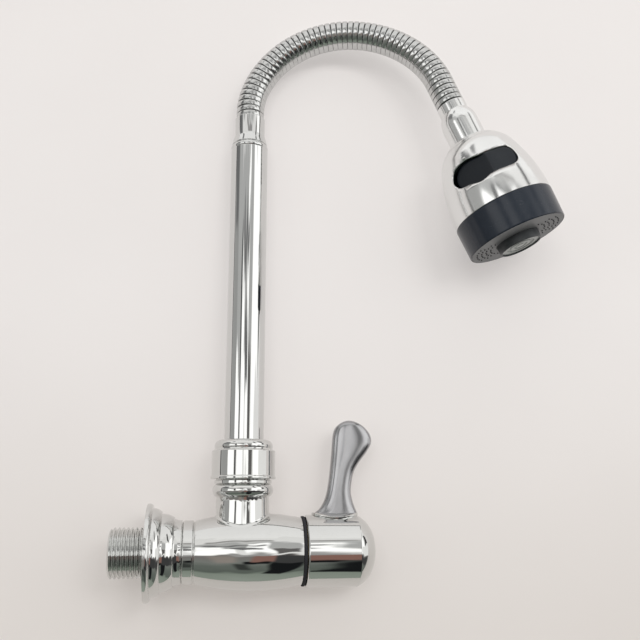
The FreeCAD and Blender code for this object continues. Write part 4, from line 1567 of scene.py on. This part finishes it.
@dataclass
class Handle:
    """The domed cap and its spoon-shaped lever, with the gasket behind them."""

    body_end_x: float = BODY_END_X
    gasket_r: float = 14.6
    gasket_thick: float = 1.3
    shoulder_r: float = 11.9
    cap_x: float = 67.3
    cap_r: float = 15.2
    cap_wall: float = 2.4
    cap_edge_x: float = 89.6
    cap_end_x: float = 97.4
    dome_mid: tuple[float, float] = (0.77, 0.62)
    web_x: float = 74.8
    bore_r: float = 4.05
    bore_end_x: float = 82.4
    pad_rise: float = 0.9
    pad_half: float = 7.2
    lever_thick: float = 6.6
    lever_top_z: float = 56.4
    lever_square: float = 2.6
    foot_start: float = 3.0
    foot_over: float = 1.2
    foot_sink: float = 2.5
    tip_high: float = 3.0
    tip_round: float = 2.6
    tip_thin: float = 0.05
    lever_outline: tuple[tuple[float, float], ...] = (
        (0.00, 0.00), (0.17, 0.06), (0.30, 0.18), (0.375, 0.36), (0.43, 0.61), (0.48, 0.86), (0.60, 0.955),
        (0.83, 1.00), (1.08, 0.96), (1.27, 0.87), (1.325, 0.77), (1.23, 0.67), (1.02, 0.53), (0.91, 0.42),
        (0.855, 0.25), (0.90, 0.12), (1.00, 0.00))

    def build(self) -> None:
        """Builds and dresses the handle's pieces."""
        along = stand(Axis.BODY)
        steps = [(self.shoulder_r, self.body_end_x), (self.gasket_r, self.body_end_x),
                 (self.gasket_r, self.body_end_x + self.gasket_thick),
                 (self.shoulder_r, self.body_end_x + self.gasket_thick)]
        wear(lathe("gasket_ring", soften(steps, 0.4), along), BLACK_RUBBER, "base", "handle_gasket")
        inner, (dome_r, dome_x) = self.cap_r - self.cap_wall, self.dome_mid
        steps = [
            (inner, self.cap_x), (self.cap_r - 0.5, self.cap_x), (self.cap_r, self.cap_x + 0.5),
            (self.cap_r, self.cap_edge_x),
            (self.cap_r * dome_r, self.cap_edge_x + dome_x * (self.cap_end_x - self.cap_edge_x), 0, self.cap_end_x),
            (0, self.bore_end_x), (self.bore_r, self.bore_end_x), (self.bore_r, self.web_x), (inner, self.web_x)]
        cap = lathe("handle_cap", soften(outline(steps, 2.5), 0.3), along, segments=192)
        wear(cap, BODY_CHROME, "handle", "lever_handle")
        wear(self.saddle(), BODY_CHROME, "handle", "lever_handle")
        wear(self.lever(), LEVER_CHROME_PAINTED_SHADE, "handle", "lever_handle")

    @property
    def foot(self) -> tuple[float, float]:
        """Where the lever's foot starts and ends along the cap."""
        return self.cap_x + self.foot_start, self.cap_edge_x + self.foot_over

    def saddle(self) -> bpy.types.Object:
        """The thin oval pad under the lever's foot, bent over the cap.

        Returns:
            The piece.
        """
        low_x, high_x = self.foot
        middle, half = (low_x + high_x) / 2, (high_x - low_x) / 2
        top = self.cap_r + self.pad_rise
        rings = []
        for share, radius in ((1.0, self.cap_r - 0.4), (1.0, top - 0.3), (0.99, top - 0.1), (0.965, top), (0.7, top),
                              (0.35, top)):
            ring = []
            for angle in turns(96):
                turn = math.asin(share * self.pad_half * math.sin(angle) / self.cap_r)
                ring.append(Vector((middle + share * half * math.cos(angle), radius * math.sin(turn),
                                    radius * math.cos(turn))) * MM)
            rings.append(ring)
        return loft("handle_saddle", rings)

    def lever(self) -> bpy.types.Object:
        """The lever: rounded cross-sections that follow its outline, on a flared foot.

        Returns:
            The piece.
        """
        low_x, high_x = self.foot
        rise = self.lever_top_z - self.cap_r
        line = smooth_line([(low_x + a * (high_x - low_x), self.cap_r + b * rise) for a, b in self.lever_outline],
                           16, closed=False)
        peak = max(range(len(line)), key=lambda k: line[k][1])
        left, right, top = line[:peak + 1], list(reversed(line[peak:])), line[peak][1]
        rows, tip_rows, tip_span = 44, 18, (0.08, math.pi / 2 * 0.985)
        heights = [self.cap_r - self.foot_sink, *np.linspace(self.cap_r - 0.5, top - self.tip_high, rows)]
        heights += [top - self.tip_high * (1 - math.sin(a)) for a in np.linspace(*tip_span, tip_rows)]
        rings = []
        for height in heights:
            a, b = line_at(left, height), line_at(right, height)
            middle, half = (a + b) / 2, max((b - a) / 2, self.tip_thin)
            near_top = max(0.0, min(1.0, (top - height) / self.tip_round))
            thick = max(self.lever_thick / 2 * math.sqrt(1 - (1 - near_top) ** 2), self.tip_thin)
            ring = []
            for angle in turns(48):
                x, y = (size * math.copysign(abs(part) ** (2 / self.lever_square), part)
                        for size, part in ((half, math.cos(angle)), (thick, math.sin(angle))))
                ring.append(Vector((middle + x, y, height)) * MM)
            rings.append(ring)
        return loft("handle_lever", rings)


# Stage

@dataclass(frozen=True)
class Area:
    """A lighter or darker area of the room, by direction in degrees: 0 is towards the camera, up is positive."""

    left: float
    right: float
    low: float
    high: float
    glow: Colour
    soft: float = 1.2


WHITE, GREY, DARK = (1.55, 1.54, 1.52), (0.55, 0.55, 0.54), (0.07, 0.07, 0.07)
MAROON, BLACK = (0.30, 0.165, 0.135), (0.012, 0.013, 0.014)
ROOM_BANDS: tuple[tuple[float, Colour], ...] = (
    (-90, (0.34, 0.38, 0.33)), (90, (0.98, 0.97, 0.96)), (-64, (0.28, 0.32, 0.27)), (-58, (0.13, 0.15, 0.13)),
    (-42, (0.16, 0.18, 0.16)), (-28, (0.24, 0.25, 0.23)), (-10, (0.24, 0.22, 0.21)), (-7.5, (1.05, 1.04, 1.02)),
    (40, (1.10, 1.09, 1.07)), (45, (0.98, 0.97, 0.95)))
ROOM_AREAS: tuple[Area, ...] = (
    Area(-66, 62, 9, 28, GREY, 1.8), Area(-88, -62, -8, 40, (0.42, 0.42, 0.41), 3.0), Area(30, 60, 8, 28, WHITE, 2.0),
    Area(-26, 16, 29, 35, (0.40, 0.39, 0.38), 1.5),
    Area(-30, -14, 9, 17, WHITE, 2.0), Area(-62, -39, -8, 11, WHITE), Area(-28, -7, -6, 9, WHITE),
    Area(-1, 13, 0, 26, WHITE), Area(33, 53, -8, 13, WHITE), Area(53, 72, 10, 36, WHITE),
    Area(-38, -31, -4, 20, (0.10, 0.10, 0.10)), Area(14, 29, -3, 9, (0.16, 0.155, 0.15)),
    Area(-10, 10, 10, 14, (0.2, 0.2, 0.2)), Area(-26, 12, 18, 22, (0.2, 0.2, 0.2), 1.8),
    Area(-94, -88.5, -40, 32, DARK), Area(-106, -101, -12, 12, (0.35, 0.35, 0.35)), Area(44, 52, 33, 52, DARK),
    Area(-61, -50, 48, 56, (0.25, 0.25, 0.25)), Area(104, 116, -40, 20, DARK), Area(-89, -66, 22, 42, (0.2, 0.2, 0.2)),
    Area(76, 92, 12, 30, DARK), Area(-12, 11, -11, -3, (0.42, 0.41, 0.40), 2.0),
    Area(13, 36, -64, -26, BLACK, 2.5), Area(-2, 13, -34, -27, BLACK, 1.5),
    Area(13, 60, -31, -10, (0.06, 0.06, 0.06), 2.0),
    Area(2, 14, -29, -9, MAROON, 1.5), Area(-9, 1, -52, -34, (0.05, 0.055, 0.05), 3.0),
    Area(-20, -6, -28, -12, (0.34, 0.30, 0.27), 3.0), Area(56, 84, -32, -12, DARK, 3.0))


@dataclass
class Studio:
    """The pale table that the tap lies on, the lights, the dark room that the chrome reflects, and the camera."""

    table_half: float = 1.6
    table_y: float = 20.2
    table_fall_x: float = 0.0618
    table_fall_z: float = 0.0482
    table_tints: tuple[Colour, Colour] = ((0.396, 0.384, 0.376), (0.444, 0.432, 0.424))
    table_painted_light_low: Colour = (0.315, 0.285, 0.262)
    table_painted_light_high: Colour = (0.420, 0.398, 0.390)
    table_painted_light_span: tuple[float, float] = (-0.07, 0.13)
    backdrop: Colour = (0.80, 0.78, 0.76)
    picture: float = 640
    sensor: float = 36.0
    lens_pixels: float = 762.53
    azimuth: float = 8.0107
    elevation: float = 13.3501
    roll: float = -0.187
    target: tuple[float, float, float] = (74.3586, 0.0, 102.9347)
    distance: float = 354.929

    def build(self) -> None:
        """Sets the stage."""
        self.camera()
        self.table()
        self.lights()
        self.world()
        bpy.context.scene.view_settings.view_transform = "Standard"

    def camera(self) -> None:
        """The camera, at the photograph's place."""
        az, el, roll = (math.radians(v) for v in (self.azimuth, self.elevation, self.roll))
        forward = Vector((math.sin(az) * math.cos(el), math.cos(az) * math.cos(el), math.sin(el)))
        flat = Vector((math.cos(az), -math.sin(az), 0))
        rise = flat.cross(forward)
        right = flat * math.cos(roll) + rise * math.sin(roll)
        up = rise * math.cos(roll) - flat * math.sin(roll)
        data = bpy.data.cameras.new("camera")
        data.sensor_width = self.sensor
        data.lens = self.lens_pixels / self.picture * self.sensor
        data.clip_start, data.clip_end = 0.01, 20.0
        camera = bpy.data.objects.new("camera", data)
        place = (Vector(self.target) - forward * self.distance) * MM
        camera.matrix_world = Matrix.Translation(place) @ Matrix((
            (right.x, up.x, -forward.x), (right.y, up.y, -forward.y), (right.z, up.z, -forward.z))).to_4x4()
        bpy.context.scene.collection.objects.link(camera)
        bpy.context.scene.camera = camera

    def table(self) -> None:
        """The table's top: pale laminate with a soft unevenness and a painted glow, brighter towards the top, that
        lightens the shade on it; unseen from behind.
        """
        half = self.table_half
        points = np.array([(x, self.table_y * MM - self.table_fall_x * x - self.table_fall_z * z, z)
                           for x, z in ((-half, -half), (half, -half), (half, half), (-half, half))])
        top = make_piece("table_top", points, [(0, 1, 2, 3)])
        material, sheet = blank_material("table_laminate")
        place = sheet.place()
        height = sheet.add("ShaderNodeSeparateXYZ", {0: place}).outputs["Z"]
        # Painted light: the table glows by itself, brighter towards the top, so its shadows and shade stay light.
        glow = sheet.blend(sheet.remap(height, *self.table_painted_light_span, smooth=True), self.table_painted_light_low, self.table_painted_light_high)
        cloud, grain = sheet.noise(place, scale=9.0, detail=3.0), sheet.noise(place, scale=120.0, detail=4.0)
        shader = sheet.add("ShaderNodeBsdfPrincipled", {
            "Base Color": sheet.blend(cloud, *self.table_tints), "Roughness": 0.6, "Specular IOR Level": 0.2,
            "Normal": sheet.bump(grain, depth=0.0002, strength=0.3),
            "Emission Color": glow, "Emission Strength": 1.0})
        clear = sheet.add("ShaderNodeBsdfTransparent")
        behind = sheet.add("ShaderNodeNewGeometry").outputs["Backfacing"]
        mix = sheet.add("ShaderNodeMixShader", {0: behind, 1: shader.outputs[0], 2: clear.outputs[0]})
        sheet.add("ShaderNodeOutputMaterial", {"Surface": mix.outputs[0]})
        top.data.materials.append(material)

    def lights(self) -> None:
        """Soft lamps on the camera's side, which light the table but don't show in the chrome."""
        self.lamp("left_light", place=(-0.22, -1.15, 0.42), aim=(0.07, 0.0, 0.12), size=(0.55, 0.4), power=2.5)
        self.lamp("right_light", place=(0.42, -1.1, 0.40), aim=(0.10, 0.0, 0.12), size=(0.45, 0.3), power=3.4)

    @staticmethod
    def lamp(name: str, place: tuple, aim: tuple, size: tuple, power: float) -> None:
        """Adds one soft lamp.

        Args:
            name: Its name.
            place: Where it stands, in metres.
            aim: What it points at.
            size: Its width and height, in metres.
            power: Its power in watts.
        """
        data = bpy.data.lights.new(name, "AREA")
        data.shape, data.size, data.size_y = "RECTANGLE", *size
        data.energy, data.color = power, (1.0, 0.99, 0.98)
        lamp = bpy.data.objects.new(name, data)
        lamp.location = place
        lamp.rotation_euler = (Vector(aim) - Vector(place)).to_track_quat("-Z", "Y").to_euler()
        lamp.visible_glossy = False
        bpy.context.scene.collection.objects.link(lamp)

    def world(self) -> None:
        """The room round the table, by direction: broad bands by height, with lighter and darker areas on them."""
        world = bpy.data.worlds.new("room")
        bpy.context.scene.world = world
        world.use_nodes = True
        world.cycles.sampling_method = "MANUAL"
        world.cycles.sample_map_resolution = 128
        sheet = Sheet(world.node_tree)
        way = sheet.add("ShaderNodeTexCoord").outputs["Generated"]
        parts = sheet.add("ShaderNodeSeparateXYZ", {0: way}).outputs
        turn = sheet.maths("ARCTAN2", parts["X"], sheet.maths("MULTIPLY", parts["Y"], -1.0))
        azimuth = self.wavy(sheet, way, turn, scale=3.0, reach=9.0)
        elevation = self.wavy(sheet, way, sheet.maths("ARCSINE", parts["Z"]), scale=5.0, reach=16.0)
        bands = sheet.add("ShaderNodeValToRGB", {0: sheet.remap(elevation, -90.0, 90.0)})
        ramp = bands.color_ramp
        # A new ramp holds two stops already
        for index, (height, colour) in enumerate(ROOM_BANDS):
            stop = ramp.elements[index] if index < 2 else ramp.elements.new(0.5)
            stop.position = (height + 90) / 180
            stop.color = (*colour, 1)
        glow = bands.outputs["Color"]
        for area in ROOM_AREAS:
            mask = AREA_MASK.place(sheet, Azimuth=azimuth, Elevation=elevation, Left=area.left, Right=area.right,
                                   Low=area.low, High=area.high, Soft=area.soft)
            glow = sheet.blend(mask, glow, area.glow)
        seen = sheet.add("ShaderNodeLightPath").outputs["Is Camera Ray"]
        background = world.node_tree.nodes["Background"].inputs
        world.node_tree.links.new(sheet.blend(seen, glow, self.backdrop), background["Color"])
        background["Strength"].default_value = 1.0

    @staticmethod
    def wavy(sheet: Sheet, way: Socket, angle: Socket, scale: float, reach: float) -> Socket:
        """Turns an angle into degrees with a slow unevenness, so that the edges in the room wander a little.

        Args:
            sheet: The world's sheet.
            way: The direction.
            angle: The angle, in radians.
            scale: How fine the unevenness is.
            reach: How far it goes, in degrees.

        Returns:
            The uneven angle, in degrees.
        """
        degrees = sheet.maths("MULTIPLY", angle, math.degrees(1))
        shift = sheet.maths("MULTIPLY_ADD", sheet.noise(way, scale, detail=0.4), reach, -reach / 2)
        return sheet.maths("ADD", degrees, shift)


def main() -> None:
    """Builds every sub-assembly in order, dresses the CAD nodes that stay and sets the stage."""
    logging.basicConfig(level=logging.INFO, format="%(name)s: %(message)s")
    neck = Gooseneck()
    for assembly in (Studio(), Body(), Spout(), neck, SprayHead(neck), Handle()):
        assembly.build()
    for node, finish in NODE_FINISHES.items():
        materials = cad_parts[node].data.materials
        materials.clear()
        materials.append(finish.material())


if __name__ == "__main__":
    main()
